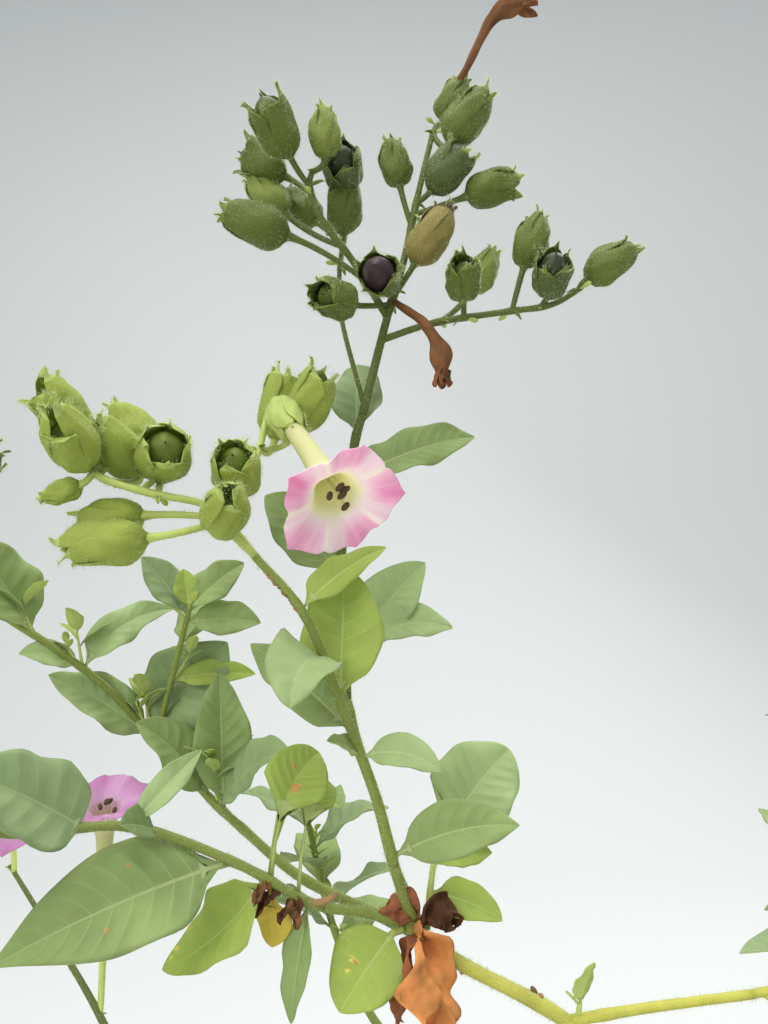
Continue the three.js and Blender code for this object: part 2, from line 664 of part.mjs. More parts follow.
// Heads of seed capsules. An arm is { path, radii, fruits }, and a fruit is
// [share of the arm, place of its base, direction of its axis, size]. The arms with no fruits are a
// bare side stem on the front head and two withered flowers on the rear one.
const HEADS = [
  {
    name: "front_fruits",
    place: fromFork,
    arms: [
      {
        path: [[-38, -15, 93], [-42, -15, 98], [-46, -15, 102]],
        radii: [1.05, 1.0],
        fruits: [[0.95, [-46.5, -16, 100], [0.29, -0.88, 0.38], 0.96]],
      },
      {
        path: [[-46, -15, 102], [-51, -17, 106], [-62, -20, 108], [-73, -22, 111], [-77, -22, 114]],
        radii: [0.95, 0.8],
        fruits: [
          [0.02, [-65, -17, 103], [-0.98, 0.1, -0.08], 0.9],
          [0.0, [-62, -23, 97], [-0.98, -0.1, -0.12], 1.04],
          [0.5, [-64, -7, 117], [0.3, -0.94, 0.14], 1.14],
          [0.62, [-68, -3, 124], [-0.75, 0.2, 0.62], 0.84],
          [0.85, [-70, -8, 115], [-0.3, -0.8, 0.52], 0.98],
          [0.95, [-85, -9, 122], [-0.25, -0.6, 0.76], 1.0],
          [1.0, [-79, -20, 115], [-0.05, -0.87, 0.48], 1.0],
          [0.97, [-79, -22, 110], [-0.93, 0, -0.35], 0.5],
        ],
      },
      {
        path: [[-46, -15, 102], [-44, -7, 111], [-42, 2, 119], [-41, 9, 125]],
        radii: [0.95, 0.8],
        fruits: [
          [0.35, [-44, -4, 112], [0.06, -0.95, 0.3], 1.06],
          [0.98, [-39, 23, 130], [0.2, -0.22, 0.95], 1.12],
          [0.96, [-32, 17, 131], [0.43, -0.25, 0.86], 1.06],
        ],
      },
      {
        path: [[-38.6, -15, 93.6], [-42, -17.8, 97], [-46.4, -18.7, 102.8]],
        radii: [0.85, 0.7],
        fruits: [],
      },
    ],
    flowers: [
      {
        name: "front_flower",
        arm: 2,
        share: 0.98,
        base: [-37, 12, 138],
        axis: [0.396, -0.672, -0.626],
        size: 1,
        spin: -20,
      },
    ],
  },
  {
    name: "rear_fruits",
    place: fromFork,
    arms: [
      {
        path: [[-12.5, 23, 138], [-5, 22, 168], [0, 21, 185], [4, 21, 204], [9, 22, 226], [11, 24, 232]],
        radii: [1.4, 0.8],
        fruits: [
          [0.36, [-16, 14, 169], [-0.45, -0.87, -0.15], 0.94],
          [0.4, [-6, 21, 178], [-0.15, -0.97, -0.1], 0.98],
          [0.38, [3, 16, 182], [0.5, -0.1, 0.85], 1.02],
          [0.62, [-1, 20, 209], [-0.2, 0, 0.97], 0.8],
          [0.66, [19, 19, 205], [0.92, 0, 0.35], 0.9],
          [0.7, [8, 18, 206], [0.6, -0.2, 0.72], 0.98],
          [0.95, [14, 19, 222], [0.55, -0.1, 0.8], 1.02],
          [1.0, [13, 27, 235], [0.4, 0.1, 0.9], 0.84],
        ],
      },
      {
        path: [[-5, 22, 168], [-15, 17, 183], [-21, 14, 190], [-26, 11, 197], [-28, 10, 204], [-27, 9, 208]],
        radii: [1.2, 0.8],
        fruits: [
          [0.25, [-34, 12, 189], [-0.95, -0.15, 0.3], 1.04],
          [0.5, [-36, 18, 199], [-0.65, 0.1, 0.7], 0.86],
          [0.6, [-27, 25, 200], [-0.6, 0.3, 0.7], 0.86],
          [0.85, [-36, 18, 211], [-0.85, -0.1, 0.42], 0.9],
          [0.9, [-33, 4, 209], [-0.4, -0.66, 0.64], 1.0],
          [1.0, [-23, 8, 211], [-0.06, -0.1, 1], 0.76],
        ],
      },
      {
        path: [[-7, 23, 161], [9, 19, 165], [30, 15, 167], [43, 12, 168], [52, 11, 173]],
        radii: [1.1, 0.8],
        fruits: [
          [0.3, [21, 24, 177], [0.45, 0.2, 0.85], 0.82],
          [0.42, [17.5, 13, 170.5], [-0.1, -0.92, 0.35], 0.84],
          [0.65, [35, 11, 179], [0.3, 0, 0.95], 0.86],
          [0.78, [42, 11, 170.5], [-0.05, -0.92, 0.38], 0.88],
          [0.98, [53, 10, 175], [0.8, 0, 0.55], 0.88],
        ],
      },
      {
        path: [[-12.4, 23, 142], [-19, 26, 168], [-20, 27, 184], [-19, 27, 192]],
        radii: [0.8, 0.7],
        fruits: [
          [0.9, [-19, 28, 197], [0.05, -0.3, 0.95], 0.94],
          [1.0, [-18, 27, 214], [-0.08, -0.99, 0.02], 1.02],
        ],
      },
      {
        path: [[16, 27.5, 247], [20, 24, 250], [29, 22, 267], [40, 20, 271]],
        radii: [1.0, 1.8],
        fruits: [],
      },
      {
        path: [[-3.5, 21.5, 173], [5, 14, 164], [10, 13.5, 156], [11, 14.5, 147]],
        radii: [1.0, 1.9],
        fruits: [],
      },
    ],
    flowers: [],
  },
  {
    name: "left_fruits",
    place: fromFork,
    arms: [
      headArm([[-118, -31, 60], [-122, -28, 76], [-126, -22, 96], [-128, -18, 112]], [1.1, 0.8], 31, 4),
      headArm([[-122.5, -27, 80], [-134, -30, 92], [-144, -32, 108]], [0.9, 0.7], 32, 2),
    ],
    flowers: [],
  },
  {
    name: "low_left_fruits",
    place: fromFoot,
    arms: [
      {
        path: [[-228, 10, 356], [-233, 13, 364], [-246, 26, 375], [-262, 40, 389], [-300, 68, 416]],
        radii: [1.3, 0.7],
        fruits: [
          [0.1, [-240, 6, 366], [-0.6, -0.35, 0.72], 0.95],
          [0.22, [-232, 30, 364], [0.5, 0.45, 0.74], 0.9],
        ],
      },
    ],
    flowers: [
      {
        name: "left_flower",
        arm: 0,
        share: 0.45,
        base: [-261, 47.2, 406.6],
        axis: [0.08, -0.3, 0.95],
        size: 0.8,
        spin: 20,
      },
      {
        name: "left_edge_flower",
        arm: 0,
        share: 0.97,
        base: [-302, 71.5, 433.8],
        axis: [0.41, -0.88, 0.25],
        size: 0.86,
        spin: 10,
      },
    ],
  },
  {
    name: "back_left_fruits",
    place: fromFork,
    arms: [
      headArm([[-140, 28, 94], [-148, 26, 112], [-152, 25, 132]], [1.1, 0.8], 41, 4),
      headArm([[-144, 27, 103], [-156, 36, 112], [-164, 46, 124]], [0.9, 0.7], 42, 2),
    ],
    flowers: [],
  },
  {
    name: "right_fruits",
    place: fromFork,
    arms: [
      headArm([[110, -28, 46], [113, -28, 62], [114, -26, 80]], [0.9, 0.8], 51, 3),
      headArm([[112, -28, 56], [122, -34, 68], [128, -40, 82]], [0.8, 0.7], 52, 2),
    ],
    flowers: [],
  },
  {
    name: "back_right_fruits",
    place: fromFoot,
    arms: [
      headArm([[4, 74, 466], [6, 78, 500], [6, 80, 536]], [1.4, 0.8], 61, 4),
      headArm([[5, 76, 484], [22, 84, 500], [36, 90, 522]], [1.0, 0.7], 62, 2),
    ],
    flowers: [
      {
        name: "back_right_flower",
        arm: 1,
        share: 0.4,
        base: [16, 96, 508],
        axis: [0.2, 0.9, 0.1],
        size: 0.96,
      },
    ],
  },
  {
    name: "front_right_fruits",
    place: fromFoot,
    arms: [
      headArm([[44, -64, 410], [47, -67, 440], [48, -68, 472]], [1.4, 0.8], 71, 4),
      headArm([[46, -66, 426], [34, -78, 442], [26, -86, 462]], [1.0, 0.7], 72, 2),
    ],
    flowers: [
      {
        name: "front_right_flower",
        arm: 0,
        share: 0.35,
        base: [60, -78, 446],
        axis: [0.62, -0.72, 0.1],
        size: 0.96,
      },
    ],
  },
];

function makeHead({ name, place, arms, flowers }) {
  const stems = [];
  const pieces = [];
  const armsMade = arms.map(({ path, radii, fruits }, which) => {
    const points = path.map(place);
    if (which === 0) points[0] = startClear(points);
    const curve = lineThrough(points);
    const steps = Math.max(2, Math.round(curve.getLength() / TWIG_STEP));
    stems.push(limb(curve, taper(...radii), TWIG_SIDES, steps));
    for (const [share, base, direction, size] of fruits) {
      const foot = place(base);
      const axis = new THREE.Vector3(...direction).normalize();
      const stalk = pedicel(middleAt(curve, steps, share), foot, axis);
      const solid = stalk.add(capsule(foot, axis, size));
      pieces.push({ label: `fruit at ${share.toFixed(2)}`, solid });
    }
    return { curve, steps };
  });
  for (const flower of flowers) {
    const foot = place(flower.base);
    const axis = new THREE.Vector3(...flower.axis).normalize();
    const { curve, steps } = armsMade[flower.arm];
    stems.push(pedicel(middleAt(curve, steps, flower.share), foot, axis, 0.9));
    stems.push(calyx(foot, axis, flower.size));
  }
  addNode(name, clearOfNeighbours(joinClear(name, stems, pieces)), null, looks.fruit);
  for (const flower of flowers) {
    const axis = new THREE.Vector3(...flower.axis).normalize();
    const solid = corolla(place(flower.base), axis, flower.size, flower.spin);
    addNode(flower.name, solid, null, looks.petal);
  }
}

makeTrunk();
BOUGHS.forEach(makeBough);
SHOOTS.forEach(makeShoot);
HEADS.forEach(makeHead);
if (skipped.length) console.log("skipped: " + skipped.join(", "));

export default plant;
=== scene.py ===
"""A branching tobacco plant in flower and seed, drawn over its solids.

Leaves, stems, capsules and flowers grow from the same places and by the same seeded rule as the
solids, with finer shapes. Sizes here are millimetres, and meshes are made in metres.
"""

import math

import bpy
import mathutils
import numpy as np
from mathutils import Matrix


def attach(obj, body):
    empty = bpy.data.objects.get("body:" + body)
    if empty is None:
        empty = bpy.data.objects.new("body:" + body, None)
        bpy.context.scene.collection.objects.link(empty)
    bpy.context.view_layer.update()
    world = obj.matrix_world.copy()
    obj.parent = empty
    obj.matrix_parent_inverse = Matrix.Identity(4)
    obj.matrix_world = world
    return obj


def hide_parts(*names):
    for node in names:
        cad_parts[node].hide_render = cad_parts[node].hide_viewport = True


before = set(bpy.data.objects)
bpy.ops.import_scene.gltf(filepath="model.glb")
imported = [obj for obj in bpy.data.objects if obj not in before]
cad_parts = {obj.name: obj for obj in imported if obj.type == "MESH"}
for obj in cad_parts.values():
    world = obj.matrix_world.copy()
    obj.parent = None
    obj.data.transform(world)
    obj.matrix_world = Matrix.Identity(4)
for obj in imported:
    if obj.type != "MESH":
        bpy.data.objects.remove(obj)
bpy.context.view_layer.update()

# The camera stands in front of the open flower and looks a little upwards

EYE = (-176.0, -198.0, 506.0)
LOOK_UP = 6.0  # degrees above level
FIELD = 27.04  # focal length on a picture 36 mm high

camera = bpy.data.objects.new("camera", bpy.data.cameras.new("camera"))
camera.location = [value / 1000 for value in EYE]
camera.rotation_euler = (math.radians(90 + LOOK_UP), 0, 0)
camera.data.sensor_fit = "VERTICAL"
camera.data.sensor_height = 36
camera.data.lens = FIELD
camera.data.clip_start = 0.005
bpy.context.scene.collection.objects.link(camera)
bpy.context.scene.camera = camera

# Sizes and rules that the solids share

FOOT = np.zeros(3)
FORK = np.array([-170.0, 8.0, 422.0])
GOLDEN_ANGLE = 137.5
UP = np.array([0.0, 0.0, 1.0])
FLARE = {"radius": 6.6, "flare": 3.6, "height": 14, "ribs": 5, "depth": 0.12}
TRUNK_TIP_RADIUS = 1.5
TRUNK_TAPER = 1.3
STALK = 0.12
CAPSULE = {"length": 20.5, "radius": 6.0}
CALYX = {"length": 15.0, "radius": 5.0}
COROLLA = {"length": 39.0, "tube": 2.7, "limb": 16.0}
# How far the rule for leaves makes the last ones smaller, and how far their numbers vary
LEAF_RULE = {
    "smaller": 0.4, "size": (0.88, 0.24), "width": (0.44, 0.08),
    "turn": 24, "rise": 16, "droop": 30,
}
# Where the first capsule of an arm stands, its turn and lean in degrees, its stalk and its size
HEAD_RULE = {
    "first": 0.25, "turn": 40, "lean": 58, "tip_lean": 12, "stalk": (9, 3), "size": (0.9, 0.18),
}
TAU = 2 * math.pi


def seeded(seed):
    state = seed
    while True:
        state = (state * 16807) % 2147483647
        yield state / 2147483647


def unit(v):
    v = np.asarray(v, float)
    return v / max(np.linalg.norm(v), 1e-12)


def heading(azimuth, rise):
    a, e = math.radians(azimuth), math.radians(rise)
    return np.array([math.cos(a) * math.cos(e), math.sin(a) * math.cos(e), math.sin(e)])


def turned(v, axis, degrees):
    """v turned about a unit axis."""
    c, s = math.cos(math.radians(degrees)), math.sin(math.radians(degrees))
    return v * c + np.cross(axis, v) * s + axis * np.dot(axis, v) * (1 - c)


class Line:
    """A smooth curve through places, measured along its length."""

    def __init__(self, points, fine=200):
        p = np.array(points, float)
        p = np.vstack([2 * p[0] - p[1], p, 2 * p[-1] - p[-2]])
        spans = len(p) - 3
        u = np.linspace(0, spans, fine + 1)
        i = np.minimum(u.astype(int), spans - 1)
        w = (u - i)[:, None]
        a, b, c, d = p[i], p[i + 1], p[i + 2], p[i + 3]
        t0, t1 = 0.5 * (c - a), 0.5 * (d - b)
        self.points = (
            (2 * b - 2 * c + t0 + t1) * w**3 + (-3 * b + 3 * c - 2 * t0 - t1) * w**2 + t0 * w + b
        )
        stretches = np.linalg.norm(np.diff(self.points, axis=0), axis=1)
        self.steps = np.concatenate([[0], np.cumsum(stretches)])
        self.length = self.steps[-1]

    def at(self, share):
        s = np.clip(share, 0, 1) * self.length
        return np.stack([np.interp(s, self.steps, self.points[:, k]) for k in range(3)], axis=-1)

    def way(self, share):
        step = 0.004
        d = self.at(min(share + step, 1)) - self.at(max(share - step, 0))
        return unit(d)


def ranged(limits, numbers):
    least, spread = limits
    return least + spread * next(numbers)


def leaves_by_rule(seed, count, start=0.05, end=0.95, azimuth=0, length=40, rise=42, droop=45):
    """Leaves round a twig by the golden angle, each a little smaller than the last."""
    numbers = seeded(seed)
    rule = LEAF_RULE
    rows = []
    for i in range(count):
        share = start + ((end - start) * i) / max(1, count - 1)
        size = length * (1 - rule["smaller"] * share) * ranged(rule["size"], numbers)
        turn = azimuth + GOLDEN_ANGLE * i + rule["turn"] * (next(numbers) - 0.5)
        slope = rise + rule["rise"] * (next(numbers) - 0.5)
        width = size * ranged(rule["width"], numbers)
        bend = droop + rule["droop"] * (next(numbers) - 0.5)
        rows.append([share, turn, slope, size, width, bend])
    return rows


def head_arm(path, radii, seed, count):
    """An arm with capsules on alternate sides and one at its tip."""
    numbers = seeded(seed)
    line = Line(path)
    rule = HEAD_RULE
    rows = []
    for i in range(count):
        share = 1 if count == 1 else rule["first"] + ((1 - rule["first"]) * i) / (count - 1)
        along = line.way(share)
        outward = heading(GOLDEN_ANGLE * i + rule["turn"] * next(numbers), 0)
        lean = math.radians(rule["tip_lean"] if i == count - 1 else rule["lean"])
        axis = unit(along * math.cos(lean) + outward * math.sin(lean) + 0.35 * UP)
        base = line.at(share) + axis * ranged(rule["stalk"], numbers)
        size = ranged(rule["size"], numbers)
        rows.append([share, base.tolist(), axis.tolist(), size])
    return path, radii, rows


# The trunk's path, up to the fork
TRUNK_PATH = [
    [0, 0, 0], [-5, 1, 100], [-22, 2, 200], [-58, 2, 300], [-106, -1, 382], [-132, 0, 403],
    [-157, 5, 414], FORK,
]
# Boughs: name, where their paths start, path, and radius at the foot and at the tip
BOUGHS = [
    ["left_bough", FORK, [[-0.4, -0.1, 0.2], [-10, -1, 3], [-21, -5, 6]], 1.25, 1.15],
    ["front_bough", FORK, [[3, -1, -1.5], [-1, -2, 7], [-3.2, -2.5, 15]], 1.3, 1.2],
    ["rear_bough", FORK,
     [[4, 0, -2.5], [-3, 9, 10], [-7.9, 13, 27], [-13.4, 15, 41.7], [-16.6, 16, 54]],
     1.5, 1.45],
    ["back_left_bough", FORK, [[8, -2, -4], [-4, 9, -3], [-30, 22, 4], [-52, 37, 15]], 1.5, 1.3],
    ["right_bough", FORK, [[39, -8, -19], [57, -12, -14], [80, -16, -9]], 1.3, 1.0],
    ["back_bough", FOOT, [[-66, 2, 316], [-110, 46, 330], [-168, 76, 352]], 2.1, 1.5],
    ["back_right_bough", FOOT, [[-40, 2, 255], [-26, 26, 292], [-8, 52, 350]], 2.4, 1.8],
    ["front_right_bough", FOOT, [[-25, 2, 208], [0, -26, 240], [28, -50, 300]], 2.4, 1.8],
    ["low_left_bough", FOOT, [[-10, 1, 140], [-55, -10, 172], [-110, -14, 220]], 2.7, 2.1],
    ["low_right_bough", FOOT, [[-4, 1, 80], [30, 14, 104], [60, 22, 142]], 2.8, 2.0],
]

# Shoots: name and place, then each twig's path from there, its radius at both ends, and its leaves.
# A leaf is its share of the twig, azimuth, rise, length, width, droop, roll and share of stalk.
SHOOTS = [
    ("front_leaves", FORK, [
        (
            [[-3.2, -2.5, 15], [-8, -6, 33], [-17, -10, 57], [-26, -14, 79], [-38, -15, 93]],
            [1.2, 1.05],
            [[0.03, 6, 25, 34, 14, 30, 55], [0.34, 338, 20, 22, 9, 60, 45],
             [0.35, 218, 32, 11, 6, 20, -40], [0.42, 160, 40, 36, 14, 10, -50],
             [0.51, 86, 78, 35, 20, 0, 6], [0.64, 250, 20, 24, 17, 110, -20],
             [0.8, 29, 44, 30, 9, 25, 40]],
        ),
    ]),
    ("rear_leaves", FORK, [
        (
            [[-16.6, 16, 54], [-18.4, 20, 82], [-18, 21, 105], [-15, 23, 128], [-12.5, 23, 138]],
            [1.45, 1.35],
            [[0.14, 18, 52, 37, 18, 10, 55], [0.17, 355, 32, 33, 13, 50, 50],
             [0.4, 164, 55, 36, 20, 20, -50], [0.6, 85, 40, 40, 20, 45],
             [0.75, 22, 30, 48, 15, 20, 55], [0.92, 92, 62, 32, 16, 10, -10]],
        ),
    ]),
    ("fork_shoot", FORK, [
        (
            [[5, 1, -1.5], [6, 7, 4], [8, 13, 13]],
            [0.9, 0.7],
            [[0.5, 345, -5, 20, 10, 25, 45], [0.85, 12, 20, 17, 8, 30, 40],
             [0.98, 25, 56, 36, 23, 20, 45, 0.3]],
        ),
    ]),
    ("fork_leaf", FORK, [
        (
            [[-1, -1, -0.8], [-4.2, -2.6, -1.2]],
            [0.9, 0.8],
            [[0.85, 200, -45, 21.5, 18, 10, -50, 0.06]],
        ),
    ]),
    ("withered_leaves", FORK, [
        (
            [[3, 0, -1], [3, -3.4, 1.5]],
            [0.9, 0.8],
            [[0.9, 285, -45, 27, 15, 45, -20], [0.7, 235, -48, 22, 10, 40, 30],
             [0.85, 20, 40, 13, 9, 120, 60], [0.8, 170, 55, 12, 8, 110, -40]],
        ),
    ]),
    ("axil_sprout", FORK, [
        (
            [[41, -8, -18], [41, -10, -14]],
            [0.7, 0.6],
            [[0.85, 300, 70, 13, 5.5, 10], [0.8, 190, 50, 5, 2.5, 10]],
        ),
    ]),
    ("left_leaves", FORK, [
        (
            [[-21, -5, 6], [-27, -7, 9], [-42, -12, 19], [-65, -21, 30], [-90, -32, 32],
             [-108, -34, 42], [-118, -31, 60]],
            [1.15, 0.95],
            [[0.035, 225, -75, 27, 8.5, 10, -8], [0.13, 60, 84, 36, 16, 70, 50, 0.45],
             [0.14, 174, -56, 34, 17, -34, -45], [0.22, 210, -8, 54, 23, 15, -52],
             [0.38, 235, 35, 11, 9, 30, -40], [0.43, 43, 43, 24, 7, 10, 40],
             [0.42, 92, 8, 19, 9, 20, -50], [0.515, 221, 37, 30, 18, 10, -65, 0.06],
             [0.7, 275, -10, 28, 14, 50], [0.84, 150, 35, 38, 18, 45], [0.95, 250, 35, 38, 18, 50],
             [0.06, 75, 86, 34, 11, 80, 30, 0.55], [0.13, 80, -80, 17, 10, 0, 12, 0.35]],
        ),
    ]),
    ("back_left_leaves", FORK, [
        (
            [[-52, 37, 15], [-60, 42, 20], [-80, 50, 36], [-94, 45, 53], [-109, 37, 67],
             [-124, 32, 78], [-140, 28, 94]],
            [1.3, 1.0],
            [[0.04, 118, 82, 42, 17, 0, -14], [0.06, 330, 50, 34, 18, 30, 50],
             [0.09, 205, 60, 34, 18, 30, -50], [0.2, 0, 18, 25, 11, 40, 50],
             [0.32, 200, 40, 38, 15, 15, -60], [0.33, 8, 52, 38, 27, 5, 62],
             [0.57, 24, 60, 35, 12, 60, 55], [0.58, 211, 32, 19, 9, 40, -55],
             [0.72, 209, 62, 35, 19, 10, -65], [0.86, 130, 40, 36, 18, 45],
             [0.97, 265, 30, 34, 17, 45]],
        ),
        (
            [[-80, 50, 36], [-74, 46, 58], [-68, 42, 80]],
            [1.0, 0.8],
            [[0.45, 15, 12, 27, 9, 20, 55], [0.7, 70, 40, 28, 14, 20], [0.88, 1, 8, 24, 12, 20, 60],
             [0.93, 183, 55, 24, 12, 10, -55], [0.97, 15, 50, 23, 12, 20, 60],
             [0.98, 150, 75, 13, 8, 0, -40]],
        ),
    ]),
    ("right_leaves", FORK, [
        (
            [[80, -16, -9], [92, -20, -3], [104, -25, 18], [110, -28, 46]],
            [1.0, 0.9],
            leaves_by_rule(seed=11, count=5, start=0.3, azimuth=320, length=46),
        ),
        (
            [[82, -16.5, -8.5], [100, -16, -6], [124, -12, 4]],
            [0.8, 0.6],
            leaves_by_rule(seed=12, count=3, start=0.45, azimuth=40, length=40),
        ),
        (
            [[82, -16.5, -8.5], [98, -24, -16], [118, -34, -14]],
            [0.8, 0.6],
            leaves_by_rule(seed=13, count=2, start=0.45, azimuth=250, length=40, rise=25),
        ),
    ]),
    ("back_right_leaves", FOOT, [
        (
            [[-8, 52, 350], [2, 66, 420], [4, 74, 466]],
            [1.9, 1.4],
            leaves_by_rule(seed=21, count=7, azimuth=20, length=66),
        ),
    ]),
    ("front_right_leaves", FOOT, [
        (
            [[28, -50, 300], [40, -60, 362], [44, -64, 410]],
            [1.9, 1.4],
            leaves_by_rule(seed=22, count=7, azimuth=200, length=66),
        ),
    ]),
    ("low_left_leaves", FOOT, [
        (
            [[-110, -14, 220], [-150, -8, 262], [-196, 2, 312], [-228, 10, 356]],
            [2.1, 1.4],
            leaves_by_rule(seed=23, count=8, azimuth=120, length=72, droop=55, rise=36),
        ),
    ]),
    ("back_leaves", FOOT, [
        (
            [[-168, 76, 352], [-181, 82, 363], [-194, 86, 390], [-205, 84, 434]],
            [1.5, 0.9],
            leaves_by_rule(seed=24, count=8, start=0.42, azimuth=60, length=46),
        ),
    ]),
    ("low_right_leaves", FOOT, [
        (
            [[60, 22, 142], [84, 28, 190], [94, 30, 236]],
            [2.0, 0.9],
            leaves_by_rule(seed=25, count=6, azimuth=330, length=90, droop=60, rise=34),
        ),
    ]),
]

# Heads: name and place, arms, open flowers. A fruit is its share of the arm, base, axis and size.
# A flower is its name, arm, share of the arm, base, axis, size and spin.
HEADS = [
    ("front_fruits", FORK, [
        (
            [[-38, -15, 93], [-42, -15, 98], [-46, -15, 102]],
            [1.05, 1.0],
            [[0.95, [-46.5, -16, 100], [0.29, -0.88, 0.38], 0.96]],
        ),
        (
            [[-46, -15, 102], [-51, -17, 106], [-62, -20, 108], [-73, -22, 111], [-77, -22, 114]],
            [0.95, 0.8],
            [[0.02, [-65, -17, 103], [-0.98, 0.1, -0.08], 0.9],
             [0.0, [-62, -23, 97], [-0.98, -0.1, -0.12], 1.04],
             [0.5, [-64, -7, 117], [0.3, -0.94, 0.14], 1.14],
             [0.62, [-68, -3, 124], [-0.75, 0.2, 0.62], 0.84],
             [0.85, [-70, -8, 115], [-0.3, -0.8, 0.52], 0.98],
             [0.95, [-85, -9, 122], [-0.25, -0.6, 0.76], 1.0],
             [1.0, [-79, -20, 115], [-0.05, -0.87, 0.48], 1.0],
             [0.97, [-79, -22, 110], [-0.93, 0, -0.35], 0.5]],
        ),
        (
            [[-46, -15, 102], [-44, -7, 111], [-42, 2, 119], [-41, 9, 125]],
            [0.95, 0.8],
            [[0.35, [-44, -4, 112], [0.06, -0.95, 0.3], 1.06],
             [0.98, [-39, 23, 130], [0.2, -0.22, 0.95], 1.12],
             [0.96, [-32, 17, 131], [0.43, -0.25, 0.86], 1.06]],
        ),
        (
            [[-38.6, -15, 93.6], [-42, -17.8, 97], [-46.4, -18.7, 102.8]],
            [0.85, 0.7],
            [],
        ),
    ], [
        ("front_flower", 2, 0.98, [-37, 12, 138], [0.396, -0.672, -0.626], 1, -20),
    ]),
    ("rear_fruits", FORK, [
        (
            [[-12.5, 23, 138], [-5, 22, 168], [0, 21, 185], [4, 21, 204], [9, 22, 226],
             [11, 24, 232]],
            [1.4, 0.8],
            [[0.36, [-16, 14, 169], [-0.45, -0.87, -0.15], 0.94],
             [0.4, [-6, 21, 178], [-0.15, -0.97, -0.1], 0.98],
             [0.38, [3, 16, 182], [0.5, -0.1, 0.85], 1.02],
             [0.62, [-1, 20, 209], [-0.2, 0, 0.97], 0.8],
             [0.66, [19, 19, 205], [0.92, 0, 0.35], 0.9],
             [0.7, [8, 18, 206], [0.6, -0.2, 0.72], 0.98],
             [0.95, [14, 19, 222], [0.55, -0.1, 0.8], 1.02],
             [1.0, [13, 27, 235], [0.4, 0.1, 0.9], 0.84]],
        ),
        (
            [[-5, 22, 168], [-15, 17, 183], [-21, 14, 190], [-26, 11, 197], [-28, 10, 204],
             [-27, 9, 208]],
            [1.2, 0.8],
            [[0.25, [-34, 12, 189], [-0.95, -0.15, 0.3], 1.04],
             [0.5, [-36, 18, 199], [-0.65, 0.1, 0.7], 0.86],
             [0.6, [-27, 25, 200], [-0.6, 0.3, 0.7], 0.86],
             [0.85, [-36, 18, 211], [-0.85, -0.1, 0.42], 0.9],
             [0.9, [-33, 4, 209], [-0.4, -0.66, 0.64], 1.0],
             [1.0, [-23, 8, 211], [-0.06, -0.1, 1], 0.76]],
        ),
        (
            [[-7, 23, 161], [9, 19, 165], [30, 15, 167], [43, 12, 168], [52, 11, 173]],
            [1.1, 0.8],
            [[0.3, [21, 24, 177], [0.45, 0.2, 0.85], 0.82],
             [0.42, [17.5, 13, 170.5], [-0.1, -0.92, 0.35], 0.84],
             [0.65, [35, 11, 179], [0.3, 0, 0.95], 0.86],
             [0.78, [42, 11, 170.5], [-0.05, -0.92, 0.38], 0.88],
             [0.98, [53, 10, 175], [0.8, 0, 0.55], 0.88]],
        ),
        (
            [[-12.4, 23, 142], [-19, 26, 168], [-20, 27, 184], [-19, 27, 192]],
            [0.8, 0.7],
            [[0.9, [-19, 28, 197], [0.05, -0.3, 0.95], 0.94],
             [1.0, [-18, 27, 214], [-0.08, -0.99, 0.02], 1.02]],
        ),
        (
            [[16, 27.5, 247], [20, 24, 250], [29, 22, 267], [40, 20, 271]],
            [1.0, 1.8],
            [],
        ),
        (
            [[-3.5, 21.5, 173], [5, 14, 164], [10, 13.5, 156], [11, 14.5, 147]],
            [1.0, 1.9],
            [],
        ),
    ], []),
    ("left_fruits", FORK, [
        head_arm(
            [[-118, -31, 60], [-122, -28, 76], [-126, -22, 96], [-128, -18, 112]],
            [1.1, 0.8], 31, 4,
        ),
        head_arm([[-122.5, -27, 80], [-134, -30, 92], [-144, -32, 108]], [0.9, 0.7], 32, 2),
    ], []),
    ("low_left_fruits", FOOT, [
        (
            [[-228, 10, 356], [-233, 13, 364], [-246, 26, 375], [-262, 40, 389], [-300, 68, 416]],
            [1.3, 0.7],
            [[0.1, [-240, 6, 366], [-0.6, -0.35, 0.72], 0.95],
             [0.22, [-232, 30, 364], [0.5, 0.45, 0.74], 0.9]],
        ),
    ], [
        ("left_flower", 0, 0.45, [-261, 47.2, 406.6], [0.08, -0.3, 0.95], 0.8, 20),
        ("left_edge_flower", 0, 0.97, [-302, 71.5, 433.8], [0.41, -0.88, 0.25], 0.86, 10),
    ]),
    ("back_left_fruits", FORK, [
        head_arm([[-140, 28, 94], [-148, 26, 112], [-152, 25, 132]], [1.1, 0.8], 41, 4),
        head_arm([[-144, 27, 103], [-156, 36, 112], [-164, 46, 124]], [0.9, 0.7], 42, 2),
    ], []),
    ("right_fruits", FORK, [
        head_arm([[110, -28, 46], [113, -28, 62], [114, -26, 80]], [0.9, 0.8], 51, 3),
        head_arm([[112, -28, 56], [122, -34, 68], [128, -40, 82]], [0.8, 0.7], 52, 2),
    ], []),
    ("back_right_fruits", FOOT, [
        head_arm([[4, 74, 466], [6, 78, 500], [6, 80, 536]], [1.4, 0.8], 61, 4),
        head_arm([[5, 76, 484], [22, 84, 500], [36, 90, 522]], [1.0, 0.7], 62, 2),
    ], [
        ("back_right_flower", 1, 0.4, [16, 96, 508], [0.2, 0.9, 0.1], 0.96, 0),
    ]),
    ("front_right_fruits", FOOT, [
        head_arm([[44, -64, 410], [47, -67, 440], [48, -68, 472]], [1.4, 0.8], 71, 4),
        head_arm([[46, -66, 426], [34, -78, 442], [26, -86, 462]], [1.0, 0.7], 72, 2),
    ], [
        ("front_right_flower", 0, 0.35, [60, -78, 446], [0.62, -0.72, 0.1], 0.96, 0),
    ]),
]


# Shapes of one kind are piled up and become one piece


